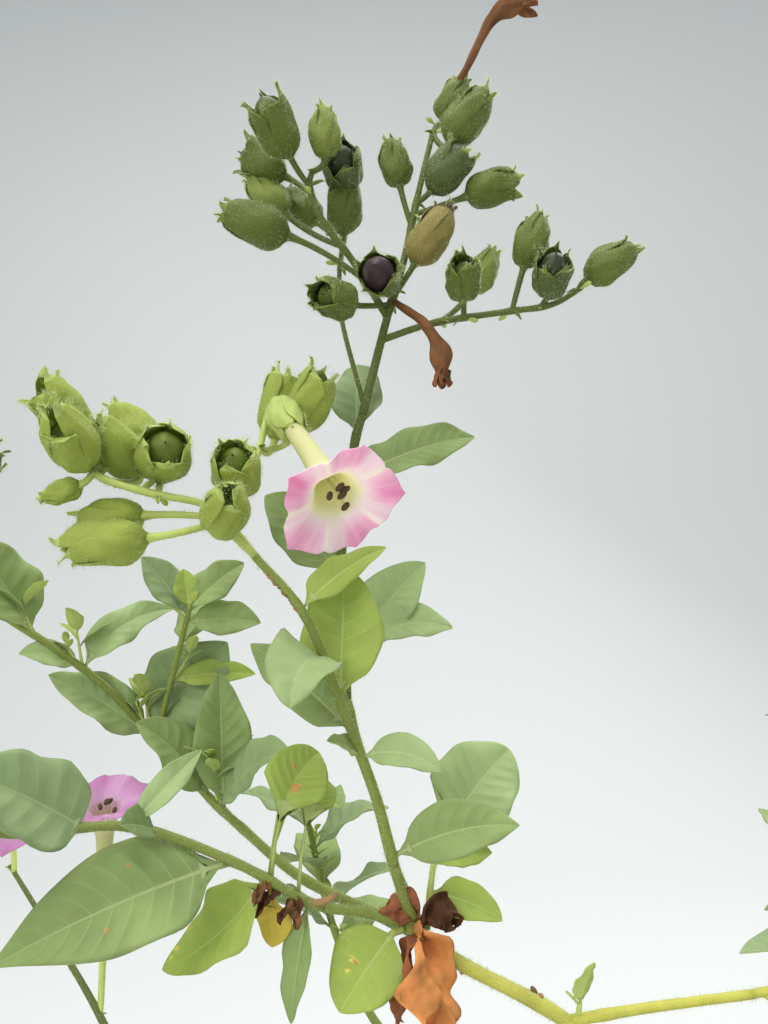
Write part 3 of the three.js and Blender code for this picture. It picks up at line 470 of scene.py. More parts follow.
class Pile:
    def __init__(self):
        self.points, self.quads, self.triangles, self.tints, self.materials = [], [], [], [], []
        self.count = 0

    def add(self, points, quads=None, quad_looks=None, triangles=None, look=None, tints=None):
        """Faces by their corners' numbers in points, each with its material."""
        points = np.asarray(points, float).reshape(-1, 3)
        if quads is not None:
            quads = np.asarray(quads).reshape(-1, 4)
            looks = np.full(len(quads), self.slot(look)) if quad_looks is None else quad_looks
            self.quads.append(np.column_stack([quads + self.count, looks]))
        if triangles is not None:
            triangles = np.asarray(triangles).reshape(-1, 3)
            looks = np.full(len(triangles), self.slot(look))
            self.triangles.append(np.column_stack([triangles + self.count, looks]))
        self.points.append(points)
        self.tints.append(np.zeros(len(points)) if tints is None else np.asarray(tints).ravel())
        self.count += len(points)

    def slot(self, look):
        if look not in self.materials:
            self.materials.append(look)
        return self.materials.index(look)

    def piece(self, name, slot, *nodes):
        """The pile as one piece, which takes the place of the solids' nodes."""
        quads = np.concatenate(self.quads) if self.quads else np.zeros((0, 5), int)
        triangles = np.concatenate(self.triangles) if self.triangles else np.zeros((0, 4), int)
        corners = np.concatenate([quads[:, :4].ravel(), triangles[:, :3].ravel()])
        sizes = np.concatenate([np.full(len(quads), 4), np.full(len(triangles), 3)])
        looks = np.concatenate([quads[:, 4], triangles[:, 3]])
        mesh = bpy.data.meshes.new(name)
        mesh.vertices.add(self.count)
        mesh.loops.add(len(corners))
        mesh.polygons.add(len(sizes))
        tints = mesh.attributes.new("tint", "FLOAT", "POINT")
        for rows, key, values, kind in (
            (mesh.vertices, "co", np.concatenate(self.points) / 1000, np.float32),
            (mesh.loops, "vertex_index", corners, np.int32),
            (mesh.polygons, "loop_start", np.cumsum(sizes) - sizes, np.int32),
            (mesh.polygons, "material_index", looks, np.int32),
            (tints.data, "value", np.concatenate(self.tints), np.float32),
        ):
            rows.foreach_set(key, values.astype(kind).ravel())
        mesh.update(calc_edges=True)
        mesh.shade_smooth()
        for look in self.materials:
            mesh.materials.append(material(look))
        piece = bpy.data.objects.new(name, mesh)
        bpy.context.scene.collection.objects.link(piece)
        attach(piece, "root")
        if nodes:
            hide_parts(*nodes)
        print(name, "triangles", 2 * len(quads) + len(triangles))


def grid(rows, columns, closed=False):
    """The quads between neighbouring rows of points."""
    r = np.arange(rows - 1)[:, None] * columns
    c = np.arange(columns if closed else columns - 1)[None, :]
    n = (c + 1) % columns
    return np.stack([r + c, r + n, r + columns + n, r + columns + c], axis=-1).reshape(-1, 4)


def sheet_rim(rows, wide):
    """The quads round the edge of a thin sheet, between its two faces."""
    total = rows * wide
    first, last = np.arange(wide), np.arange(total - 1, total - wide - 1, -1)
    right, left = np.arange(2, rows) * wide - 1, np.arange(rows - 2, 0, -1) * wide
    edge = np.concatenate([first, right, last, left])
    following = np.roll(edge, -1)
    return np.stack([edge, edge + total, following + total, following], axis=1)


def add_sheet(pile, outer, inner, looks_out, looks_in, rim_look):
    """A thin closed sheet: two grids of points that share their shape, and the rim between them."""
    rows, wide = outer.shape[:2]
    faces = grid(rows, wide)
    rim = sheet_rim(rows, wide)
    quads = np.concatenate([faces, faces[:, ::-1] + rows * wide, rim])
    looks = np.concatenate([looks_out, looks_in, np.full(len(rim), rim_look)])
    pile.add(np.concatenate([outer.reshape(-1, 3), inner.reshape(-1, 3)]), quads, looks)


def smooth(low, high, x):
    t = np.clip((x - low) / (high - low), 0, 1)
    return t * t * (3 - 2 * t)


def hump(x, wide):
    """A bell that is 1 at x = 0 and falls off within its width."""
    return np.exp(-((x / wide) ** 2))


def turns_round(sides):
    return np.linspace(0, TAU, sides, endpoint=False)


def neighbours(sides):
    """The numbers of a ring's points and of the point after each."""
    around = np.arange(sides)
    return around, (around + 1) % sides


def line_from(place, path):
    return Line([place + np.array(p) for p in path])


# Stems


def frames(line, shares, foot=None):
    """The way along a line and two directions across it, at each share of its length."""
    side, rows = None, []
    for share in shares:
        along = line.way(share) if foot is None or share > 0 else foot
        if side is None:
            side = np.array([1.0, 0, 0]) if abs(along[0]) < 0.9 else np.array([0, 1.0, 0])
        side = unit(side - along * np.dot(side, along))
        rows.append([along, side, np.cross(along, side)])
    return np.array(rows)


ROUND = 6.3  # a full turn, roughly, for a stem's area


def rings_along(line, radius, rows, sides, foot=None):
    """Rings of points round a line, the way out at each, and the radius at each."""
    shares, turns = np.linspace(0, 1, rows), turns_round(sides)
    _, side, other = np.moveaxis(frames(line, shares, foot), 1, 0)[:, :, None]
    out = np.cos(turns)[:, None] * side + np.sin(turns)[:, None] * other
    sizes = radius(shares[:, None], turns[None, :]) + np.zeros((rows, sides))
    return line.at(shares)[:, None, :] + out * sizes[:, :, None], out, sizes


def add_rings(pile, rings, ends, look, looks=None):
    """A closed round body: rings of points and the places of its two ends."""
    rows, sides = rings.shape[:2]
    around, after = neighbours(sides)
    last = (rows - 1) * sides
    foot, tip = np.full(sides, rows * sides), np.full(sides, rows * sides + 1)
    caps = np.stack([[foot, after, around], [tip, last + around, last + after]]).transpose(0, 2, 1)
    points = np.vstack([rings.reshape(-1, 3), ends])
    pile.add(points, grid(rows, sides, True), looks, triangles=caps, look=look)


def tube(pile, line, radius, look, sides=10, step=2.4, foot=None, shades=()):
    """A round stem. radius gives its size at shares of its length and turns round it.

    foot is the way up at a flat foot. shades are further looks, each from a share of the length."""
    rows = max(4, int(line.length / step)) + 1
    rings, out, sizes = rings_along(line, radius, rows, sides, foot)
    shares = np.repeat(np.linspace(0, 1, rows)[:-1], sides)
    looks = np.full(len(shares), pile.slot(look))
    for start, shade in shades:
        looks[shares >= start] = pile.slot(shade)
    add_rings(pile, rings, [line.at(0.0), line.at(1.0)], look, looks)
    fuzz_on(rings.reshape(-1, 3), out.reshape(-1, 3), line.length * sizes.mean() * ROUND)


def small_tube(pile, line, radius, look, sides=6, rows=4):
    """A short tube with no hairs."""
    rings, _, _ = rings_along(line, radius, rows, sides)
    add_rings(pile, rings, [line.at(0.0), line.at(1.0)], look)


def stem_radius(r0, r1, length, nodes=(), swelling=0.12, ridges=0.035):
    """A taper with low ridges, a little thicker where leaves and stalks stand."""

    def radius(share, turn):
        size = r0 + (r1 - r0) * share
        bulge = sum(hump((share - node) * length, 2.2) for node in nodes)
        grooves = np.cos(5 * turn + 3 * share) + 0.5 * np.cos(9 * turn - 5 * share)
        inside = smooth(0, 4, share * length) * smooth(0, 4, (1 - share) * length)
        return size * (1 + inside * (swelling * np.minimum(bulge, 1.2) + ridges * grooves))

    return radius


# Short hairs, dense on the parts that the photograph shows

FUZZ = {
    "length": 0.95, "width": 0.05, "for_each": 3.0, "elsewhere": 0.25, "lowest": 1.5, "apart": 0.6,
    "rooted": 0.25, "lean": 0.45,
}
# The photograph shows what stands above, left of and before these places
SHOWN_ABOVE, SHOWN_LEFT_OF, SHOWN_BEFORE = FORK[2] - 30, FORK[0] + 90, 50
fuzz_roots, fuzz_ways = [], []
fuzz_numbers = np.random.default_rng(5)


def fuzz_on(points, ways, area):
    """Hairs on some of a surface's points, by its area in square millimetres."""
    picked = fuzz_numbers.integers(0, len(points), int(area * FUZZ["for_each"]))
    shown = in_photo(points[picked]) | (fuzz_numbers.uniform(0, 1, len(picked)) < FUZZ["elsewhere"])
    picked = picked[shown & (points[picked, 2] > FUZZ["lowest"])]
    jitter = fuzz_numbers.normal(0, FUZZ["apart"], (len(picked), 3))
    level = jitter - ways[picked] * np.sum(jitter * ways[picked], axis=1)[:, None]
    fuzz_roots.append(points[picked] + level - FUZZ["rooted"] * ways[picked])
    fuzz_ways.append(ways[picked] + FUZZ["lean"] * jitter)


def in_photo(places):
    """Which places the photograph shows."""
    x, y, z = places.T
    return (z > SHOWN_ABOVE) & (x < SHOWN_LEFT_OF) & (y < SHOWN_BEFORE)


def make_fuzz(name, roots, ways):
    """Hairs as thin triangles that stand out from their roots."""
    ways = ways / np.linalg.norm(ways, axis=1)[:, None]
    aside = np.cross(ways, fuzz_numbers.normal(0, 1, ways.shape))
    aside = FUZZ["width"] * aside / np.linalg.norm(aside, axis=1)[:, None]
    length = FUZZ["length"] * fuzz_numbers.uniform(0.5, 1.3, len(roots))[:, None]
    points = np.stack([roots - aside, roots + aside, roots + ways * length], axis=1)
    pile = Pile()
    pile.add(points, triangles=np.arange(3 * len(roots)), look="hair")
    pile.piece(name, "stem")


def make_all_fuzz():
    roots, ways = np.concatenate(fuzz_roots), np.concatenate(fuzz_ways)
    near = in_photo(roots)
    make_fuzz("hairs_in_front", roots[near], ways[near])
    make_fuzz("hairs_around", roots[~near], ways[~near])


# Leaves

COMMON_FORM = (0.6, 0.85)  # how pointed the base and the tip are
SWEEP = 0.16  # how far the side veins sweep forward, as a share of the length
FOLD = math.tan(math.radians(18))  # how steeply the halves rise from the midrib
VEIN_RELIEF = 0.035
DROOP_POWER = 1.3  # more than 1, so a leaf bends most near its tip


def outline(s, stalk, form=COMMON_FORM):
    """A leaf's share of its full width at a share of its length."""
    a, b = form
    widest = (a / (a + b)) ** a * (b / (a + b)) ** b
    u = np.clip((s - stalk) / (1 - stalk), 0, 1)
    return 0.1 * (1 - s) + u**a * (1 - u) ** b / widest


class Blade:
    """A leaf's surface, by places along it and across it from -1 to 1."""

    def __init__(self, root, row, seed, bend=0.0, wave=0.09, crumple=0.0, form=COMMON_FORM):
        self.form = form
        _, azimuth, rise, length, width, droop, *more = row
        self.roll = more[0] if more else 0
        self.stalk = more[1] if len(more) > 1 else STALK
        self.azimuth, self.length, self.width = azimuth, length, width
        numbers = np.random.default_rng(seed)
        self.phases = numbers.uniform(0, 6.28, 8)
        self.bend, self.wave, self.crumple = bend * numbers.uniform(-1, 1), wave, crumple
        steps = 12
        middle = [np.asarray(root, float)]
        for i in range(steps):
            bent = rise - droop * ((i + 0.5) / steps) ** DROOP_POWER
            turn = azimuth + self.bend * ((i + 0.5) / steps) ** 2
            middle.append(middle[-1] + heading(turn, bent) * length / steps)
        self.spine = Line(middle, 96)

    def rib(self, s):
        return (0.14 + 0.006 * self.length) * (1 - 0.85 * s)

    def half(self, s):
        """Half of the width at a share of the length."""
        return 0.5 * self.width * outline(np.clip(s, 0, 1), self.stalk, self.form)

    def place(self, v, u, lift=0.0, veins=8):
        """Points of the surface, raised by lift. v follows the side veins, which sweep forward."""
        q = np.abs(u)
        s = np.clip(v + SWEEP * q**1.25 * 4 * v * (1 - v), 0, 1)
        half = self.half(s)
        half = half * (1 + 0.035 * np.sin(17 * s + self.phases[0] + 2 * np.sign(u)))
        step = 0.01
        along = self.spine.at(np.minimum(s + step, 1)) - self.spine.at(np.maximum(s - step, 0))
        along = along / np.linalg.norm(along, axis=-1)[..., None]
        turn = np.radians(self.azimuth + self.bend * s**2)
        across = np.stack([np.sin(turn), -np.cos(turn), 0 * turn], axis=-1)
        roll = np.radians(self.roll + 14 * (s - 0.4) * math.sin(self.phases[1]))
        normal = np.cross(across, along)
        across, normal = (
            across * np.cos(roll)[..., None] - normal * np.sin(roll)[..., None],
            normal * np.cos(roll)[..., None] + across * np.sin(roll)[..., None],
        )
        fold = FOLD * half * (1.4 * q - 0.55 * q * q)
        waves = np.sin(9 * s + self.phases[2] * np.sign(u))
        waves = waves + 0.6 * np.sin(21 * s + self.phases[3] + u)
        phase = (v - self.stalk) / (1 - self.stalk) * veins
        quilt = -np.cos(TAU * phase) * np.sin(np.pi * np.minimum(q * 1.1, 1)) ** 0.8
        height = fold + half * (self.wave * q**3 * waves + VEIN_RELIEF * quilt) + lift
        points = self.spine.at(s) + across * (u * half)[..., None] + normal * height[..., None]
        if self.crumple:
            a, b, c = self.phases[4:7]
            x, y = s * 7, u * 2.2
            folds = np.sin(x + 1.6 * y + a) + 0.5 * np.sin(1.9 * x - 2 * y + b)
            folds = folds + 0.25 * np.sin(5 * y + 3 * x + c)
            twist = np.cos(1.3 * x + 2 * y + c) * 0.6
            points = points + (normal * folds[..., None] + across * twist[..., None]) * self.crumple
        return points


def leaf_rows(veins, stalk):
    """Rows of a leaf's grid: the place along it, and -1 or 1 on the two edges of a side vein."""
    rows = [(share * stalk, 0) for share in (0, 0.35, 0.7, 1)]
    gap = (0.97 - stalk) / veins
    for k in range(veins):
        middle = stalk + gap * (k + 0.62)
        rows += [(middle - 0.42 * gap, 0), (middle - 0.2 * gap, 0)]
        rows += [(middle, -1), (middle, 1), (middle + 0.2 * gap, 0)]
    return np.array([*rows, (0.975, 0), (0.988, 0), (1.0, 0)])


def add_leaf(pile, blade, shade, under=None, vein=None, veins=8, spans=6, thick=0.26):
    """A thin closed blade with its midrib and side veins."""
    rows = leaf_rows(veins, blade.stalk)
    columns = np.concatenate([-np.linspace(1, 0, spans + 1), np.linspace(0, 1, spans + 1)])
    u = columns[None, :] + np.zeros((len(rows), 1))
    vein_width = (0.06 + 0.0015 * blade.length) / blade.length
    v = rows[:, :1] + rows[:, 1:] * vein_width * (1 - 0.8 * np.abs(u))
    half = blade.half(v)
    rib = np.minimum(blade.rib(v), 0.75 * half) / np.maximum(half, 1e-6)
    u = np.sign(np.arange(len(columns)) - spans - 0.5)[None, :] * (rib + (1 - rib) * np.abs(u))
    is_rib = np.zeros_like(u)
    is_rib[:, spans : spans + 2] = 1
    on_vein = (rows[:, 1:] != 0) * (1 - np.abs(u))
    top = blade.place(v, u, 0.5 * thick - 0.1 * is_rib - 0.05 * on_vein, veins)
    ridge = 0.5 * thick + is_rib * 0.9 * blade.rib(v) + on_vein * 0.12
    bottom = blade.place(v, u, -ridge, veins)
    r, c = np.divmod(grid(len(rows), len(columns))[:, 0], len(columns))
    veined = (rows[r, 1] < 0) & (rows[np.minimum(r + 1, len(rows) - 1), 1] > 0)
    vein_slot = pile.slot(vein or shade + "_vein")
    rib_slot = pile.slot(vein or shade + "_rib")
    shade_slot, under_slot = pile.slot(shade), pile.slot(under or shade + "_under")
    lines = np.where(c == spans, rib_slot, vein_slot)
    marked = veined | (c == spans)
    looks_over, looks_under = (np.where(marked, lines, slot) for slot in (shade_slot, under_slot))
    add_sheet(pile, top, bottom, looks_over, looks_under, under_slot)


SPOT_SIDES = 14


def add_spot(pile, blade, v, u, size, look, veins=8):
    """A small round mark just above a leaf's surface: a ring of quads round a fan."""
    turns = turns_round(SPOT_SIDES)
    uneven = 1 + 0.22 * np.sin(3 * turns + 9 * v) + 0.12 * np.sin(5 * turns)
    half = blade.half(v)
    rings = [
        blade.place(
            v + share * size * uneven * np.sin(turns) / blade.length,
            u + share * size * uneven * np.cos(turns) / half,
            0.17 - 0.06 * share,
            veins,
        )
        for share in (0.35, 1.0)
    ]
    middle = blade.place(np.array([v]), np.array([u]), 0.19, veins)
    points = np.concatenate([*rings, middle])
    around, after = neighbours(SPOT_SIDES)
    fan = np.stack([np.full(SPOT_SIDES, 2 * SPOT_SIDES), around, after], axis=1)
    ring = np.stack([around, around + SPOT_SIDES, after + SPOT_SIDES, after], axis=1)
    pile.add(points, ring, triangles=fan, look=look)


# Fruits and flowers stand in a frame of their own: two directions across and the axis


def own_frame(axis, spin=0.0):
    axis = unit(axis)
    aside = UP if abs(axis[2]) < 0.9 else np.array([1.0, 0, 0])
    side = unit(np.cross(axis, aside))
    side = turned(side, axis, spin)
    return side, np.cross(axis, side), axis


def stand(base, frame_of, radius, height, turns):
    """Points at a radius, a height and a turn round an axis."""
    side, other, axis = frame_of
    radius, height, turns = np.broadcast_arrays(radius, height, turns)
    return (
        np.asarray(base)
        + (radius * np.cos(turns))[..., None] * side
        + (radius * np.sin(turns))[..., None] * other
        + height[..., None] * axis
    )


def shell(outer, inner):
    """The points and quads of a closed shell between two grids of rings that share their shape."""
    rows, sides = outer.shape[:2]
    total = rows * sides
    faces = grid(rows, sides, True)
    around, after = neighbours(sides)
    top, top_after = around + (rows - 1) * sides, after + (rows - 1) * sides
    rim = np.stack([top, top_after, total + top_after, total + top], axis=1)
    foot = np.stack([total + around, total + after, after, around], axis=1)
    points = np.concatenate([outer.reshape(-1, 3), inner.reshape(-1, 3)])
    return points, np.concatenate([faces, faces[:, ::-1] + total, rim, foot])


BELLY = 0.36  # the height where a calyx is widest


def cup_profile(h, tip):
    """A cup's radius at a share of its height: round below, then drawn in towards its tip."""
    low = (1 - ((BELLY - np.minimum(h, BELLY)) / BELLY) ** 2.3) ** 0.62
    high = 1 - (1 - tip) * (np.maximum(h - BELLY, 0) / (1 - BELLY)) ** 2.2
    return np.maximum(low * high, 0.15)


LOBES = 5
CUP_SKIN = 0.3
# A lobe's places across, from -1 to 1 with the midrib between the middle two, the number of its
# rows, the further rows of its horn, and how many rows at its end have the colour of its tip
LOBE_GRIDS = {
    "fine": ([-1, -0.85, -0.6, -0.32, -0.06, 0.06, 0.32, 0.6, 0.85, 1], 15, (0.35, 0.7, 1.0), 6),
    "coarse": ([-1, -0.6, -0.07, 0.07, 0.6, 1], 9, (0.5, 1.0), 4),
}


def add_cup(pile, base, frame_of, length, radius, numbers, form, look, tips, detail="fine"):
    """A calyx of five lobes, each lying over the next on one side and ending in a small horn.

    form is how slim the calyx is, the height where its lobes part, how far they reach, how fast
    they narrow, how wide the calyx stays at their tips and how far the tips bend out."""
    slim, mouth, reach, narrowing, tip, flare = form
    radius = radius * slim
    across, rows, horn_rows, end_rows = LOBE_GRIDS[detail]
    x = np.array(across)[None, :]
    rise = np.concatenate([np.linspace(0, 1, rows) ** 0.9, np.ones(len(horn_rows))])[:, None]
    horn = np.concatenate([np.zeros(rows), horn_rows])[:, None]
    share = TAU / LOBES
    lump, fold = numbers.uniform(0, 6.28, 2)
    body, end = pile.slot(look), pile.slot(tips)
    row = grid(len(rise), len(across))[:, 0] // len(across)
    looks_out = np.where(row > len(rise) - end_rows, end, body)
    for k in range(LOBES):
        parting = mouth + numbers.uniform(-0.08, 0.06)
        far = reach * numbers.uniform(0.86, 1.03)
        lean = flare * numbers.uniform(0.0, 1.4)
        bend, curl = numbers.uniform(-1, 1, 2)
        long, out_turn = numbers.uniform(0.06, 0.15), numbers.uniform(-0.1, 0.5) + 0.5 * flare
        h = far * rise
        free = np.clip((h - parting) / (far - parting), 0, 1)
        swell = radius * cup_profile(h, tip)
        half = share * radius * (0.62 * (1 - free) ** narrowing + 0.09 * (1 - horn))
        turn = share * k + x * np.minimum(half / swell, share * (0.6 + 0.25 * free))
        turn = turn + 0.3 * bend * (free**2 + 0.5 * horn)
        above = smooth(parting - 0.2, parting + 0.05, h)
        out = x * (0.04 + 0.3 * above)
        out = out + 0.16 * hump(x, 0.3) * smooth(0.02, 0.3, h) * (1 - 0.7 * free)
        out = out - 0.4 * np.abs(x) ** 3 * (1 - above) * smooth(0.05, 0.3, h)
        out = out + 0.32 * np.sin(3 * turn + 8 * h + lump) + 0.17 * np.sin(8 * turn - 12 * h + fold)
        out = out + free * (1 - free) * x**2 * (0.9 + 0.9 * np.sin(9 * h + 5 * curl))
        out = out + (0.8 + 0.5 * curl) * lean * radius * free**2
        out = out + out_turn * 0.45 * radius * horn**1.5
        r = np.maximum(swell + out, 0.25)
        height = (h - 0.3 * lean * free**3 + long * (1 - 0.5 * out_turn) * horn) * length
        outer = stand(base, frame_of, r, height, turn)
        inner = stand(base, frame_of, np.maximum(r - CUP_SKIN, 0.15), height + 0.08, turn)
        add_sheet(pile, outer, inner, looks_out, np.full(len(row), body), end)
        middle = np.asarray(base) + frame_of[2] * 0.4 * length
        ways = outer.reshape(-1, 3) - middle
        ways = ways / np.linalg.norm(ways, axis=1)[:, None]
        fuzz_on(outer.reshape(-1, 3), ways, TAU * radius * length * 0.8 / LOBES)


def add_seedcase(pile, base, frame_of, length, radius, height, look, apex):
    """The ovoid seed capsule in a calyx, with four grooves and what is left of the style.

    It keeps inside the calyx's own profile, and height is where its dome ends."""
    sides, rows = 24, 14
    turns = turns_round(sides)[None, :]
    h = 0.06 + (height - 0.06) * np.linspace(0, 1, rows)[:, None] ** 0.8
    dome = np.sqrt(np.maximum(1 - (np.maximum(h - BELLY, 0) / (height - BELLY)) ** 2.4, 0))
    aside = (turns * 2 / np.pi) % 1 - 0.5  # how far from the middle of a quarter
    groove = 1 - 0.05 * np.exp(-(aside**2) / 0.004) * smooth(0.3, 0.6, h)
    r = np.maximum(0.86 * radius * cup_profile(h, 0.8) * dome * groove, 0.12)
    points = stand(base, frame_of, r, h * length, turns)
    tip = np.asarray(base) + frame_of[2] * (height * length + 0.05)
    around, after = neighbours(sides)
    last = (rows - 1) * sides
    cap = np.column_stack([last + around, last + after, np.full(sides, rows * sides)])
    points = np.vstack([points.reshape(-1, 3), tip])
    pile.add(points, grid(rows, sides, True), triangles=cap, look=look)
    style = Line([tip - frame_of[2] * 0.6, tip + frame_of[2] * 0.4, tip + frame_of[2] * 0.9])
    small_tube(pile, style, lambda s, t: 0.3 - 0.12 * s, apex, 6, 3)


def stalk_line(start, base, axis):
    """The line of a fruit's stalk, which arrives along the fruit's axis."""
    start, base, axis = np.asarray(start, float), np.asarray(base, float), unit(axis)
    reach = np.linalg.norm(base - start)
    knee = base - axis * 0.45 * reach
    end = base + axis * 1.2
    t = np.linspace(0, 1, 9)[:, None]
    return Line((1 - t) ** 2 * start + 2 * t * (1 - t) * knee + t * t * end)


def add_ellipsoid(pile, middle, axis, long, wide, look):
    rows, sides = 8, 10
    polar = np.linspace(0.12, np.pi - 0.12, rows)[:, None]
    turns = turns_round(sides)
    rings = stand(middle, own_frame(axis), wide * np.sin(polar), -long * np.cos(polar), turns)
    reach = unit(axis) * long
    add_rings(pile, rings, [np.asarray(middle) - reach, np.asarray(middle) + reach], look)


# The open flower: a tube, a throat and a limb of five joined petals with pointed tips

PETALS = 5
PETAL_SKIN = 0.3
# Heights along the tube as shares of the flower's length, and widths there as shares of its radius
NECK = [
    (0, 0.98), (0.2, 1.0), (0.4, 1.06), (0.54, 1.15),
    (0.65, 1.34), (0.74, 1.6), (0.81, 1.86), (0.87, 2.1),
]
# The anthers: to the right, upwards and outwards from the middle of the mouth, and their lean
ANTHERS = [
    (0.2, 2.6, 0.4, 0.3), (1.5, 2.2, 0.8, 0.7), (0.9, 0.9, 1.4, 0.5), (-1.6, -0.2, 0.2, -0.2),
    (3.6, -2.9, 0.2, 0.2),
]


def add_corolla(pile, base, axis, size, spin, seed, look):
    frame_of = own_frame(axis, spin)
    start = np.asarray(base) + unit(axis) * 0.9 * CALYX["length"] * size
    length, limb = COROLLA["length"] * size, COROLLA["limb"] * size
    numbers = np.random.default_rng(seed)
    sides = 120
    turns = turns_round(sides)
    aside = ((turns / (TAU / PETALS) + 0.5) % 1 - 0.5) * 2
    off = np.abs(aside)
    uneven = 1 + 0.03 * np.sin(2 * turns + numbers.uniform(0, 6))
    uneven = uneven + 0.02 * np.sin(3 * turns + numbers.uniform(0, 6))
    reach = 0.87 + 0.09 * (1 - off) ** 1.2 + 0.06 * (1 - off) ** 7 - 0.04 * smooth(0.82, 1, off)
    edge = limb * uneven * reach
    neck = np.array(NECK)
    lobed = 1 + 0.05 * np.cos(PETALS * turns) * smooth(0.5, 0.9, neck[:, :1])
    tube_r = neck[:, 1:] * COROLLA["tube"] * size * lobed
    tube_h = neck[:, :1] * length + np.zeros(sides)
    # The limb opens out from the throat in a curve and is ruffled and creased between the petals
    spread = np.linspace(0, 1, 22)[1:, None]
    limb_r = tube_r[-1] + (edge - tube_r[-1]) * spread
    rise = (0.99 - NECK[-1][0]) * length * (1 - (1 - spread) ** 2.4)
    ruffle = (
        -0.4 * np.cos(PETALS * turns) * spread**1.5
        + 0.45 * np.sin(2 * PETALS * turns + 1.0) * spread**2
        + 0.6 * np.sin(3 * turns + numbers.uniform(0, 6)) * spread**2
        + 0.35 * np.sin(13 * turns + numbers.uniform(0, 6)) * spread**4
    )
    crease = 0.7 * hump(1 - off, 0.14) * spread**0.8 * (1.15 - spread)
    keel = 0.3 * hump(off, 0.1) * spread * (1 - 0.6 * spread)
    limb_h = tube_h[-1] + rise + (ruffle - crease + keel) * size
    r = np.vstack([tube_r, limb_r])
    h = np.minimum(np.vstack([tube_h, limb_h]), length + 0.7)
    sway = 0.8 * np.where(h < 0.8 * length, np.sin(np.pi * h / (0.8 * length)), 0)[..., None] * UP
    outer = stand(start, frame_of, r, h, turns) + sway
    slope = np.gradient(h, axis=0), np.gradient(r, axis=0)
    inwards, onwards = (PETAL_SKIN * part / np.maximum(np.hypot(*slope), 1e-6) for part in slope)
    inner = stand(start, frame_of, r - inwards, h + onwards, turns) + sway
    out = np.concatenate([np.zeros(len(neck)), spread[:, 0]])[:, None]
    throat = smooth(0.6, 0.9, np.clip(h / length, 0, 1))
    points, quads = shell(outer, inner)
    pile.add(points, quads, look=look, tints=petal_tints(out, aside, turns, throat))
    add_anthers(pile, start, frame_of[2], length, size)


def petal_tints(out, aside, turns, throat):
    """How pink the flower's outside and inside are.

    It is cream in the tube and throat, and each petal is white on one side and pink from its midline
    towards the other."""
    off = np.abs(aside)
    wedge = np.where(aside > 0, 1 - 0.4 * off, 0.25 + 0.75 * hump(off, 0.3))
    wedge = wedge * (0.86 + 0.14 * np.sin(2 * turns + 1.2))
    streaks = 0.06 * np.sin(23 * turns + 2 * out) + 0.05 * np.sin(41 * turns - 3 * out)
    pink = smooth(0.04, 0.62, out) * (wedge + streaks) * (0.84 + 0.16 * out)
    pink = pink - 0.35 * hump(1 - off, 0.1) * smooth(0.1, 0.4, out)
    pink = np.clip(pink, 0, 1)
    inside = 0.42 + 0.58 * pink - 0.1 * (1 - smooth(0, 0.2, out))
    inside = np.where(out > 0, inside, 0.2 + 0.12 * throat)
    outside = np.where(out > 0, 0.36 + 0.4 * pink, 0.04 + 0.3 * throat)
    return np.concatenate([outside.ravel(), inside.ravel()])


def add_anthers(pile, start, along, length, size):
    """The anthers in the flower's mouth, each on its filament."""
    mouth = start + along * 0.9 * length
    right = unit(np.cross(UP, along))
    upward = np.cross(along, right)
    for x, y, z, lean in ANTHERS:
        place = mouth + (right * x + upward * y + along * z) * size
        way = unit(right * lean + upward * 0.9 + along * 0.25)
        add_ellipsoid(pile, place, way, 1.5 * size, 0.8 * size, "anther")
        root = start + along * 0.45 * length + right * 0.3 * x + upward * 0.3 * y
        filament = Line([root, 0.5 * (root + place) + right * 0.1 * x, place])
        small_tube(pile, filament, lambda s, t: 0.24 - 0.05 * s, "filament", 6, 8)


# Withered flowers: a dry tube with the crumpled limb at its end


def add_withered_flower(pile, line, radii, seed):
    numbers = np.random.default_rng(seed)
    a, b, c = numbers.uniform(0, 6.28, 3)

    def radius(share, turn):
        size = radii[0] + (radii[1] - radii[0]) * share**1.2
        swell = 1 + 0.75 * hump(share - 0.8, 0.13) - 0.25 * hump(share - 0.97, 0.05)
        folds = 0.16 * np.sin(5 * turn + 7 * share + a) + 0.12 * np.sin(8 * turn - 9 * share + b)
        dents = 0.12 * np.sin(23 * share + 2 * turn + c)
        return size * swell * (1 + (folds + dents) * (0.35 + 0.65 * share))

    small_tube(pile, line, radius, "withered_flower", 22, 46)
    tip, way = line.at(1.0), line.way(0.97)
    looks = ("withered_flower", "withered_red", "withered_dark")
    for k in range(4):
        outward = turned(own_frame(way)[0], way, 90 * k + 40 * a)
        place = tip - way * (1.5 + 1.1 * k) + outward * 0.4
        direction = unit(way + 0.5 * outward)
        azimuth = math.degrees(math.atan2(direction[1], direction[0]))
        rise = math.degrees(math.asin(np.clip(direction[2], -1, 1)))
        row = [0, azimuth, rise, 5.0 + k, 3.6, 30, 50 * k, 0.1]
        blade = Blade(place, row, seed + k, crumple=0.35)
        add_leaf(pile, blade, *looks, veins=4, spans=4, thick=0.2)


# The plant: limbs first, then leafy shoots, then the heads of fruit

limbs, twigs = Pile(), Pile()
leaf_piles = {"photo": Pile(), "side": Pile(), "rest": Pile()}
fruits = {"photo": Pile(), "rest": Pile()}
flowers, withered = Pile(), Pile()
pick = np.random.default_rng(17)

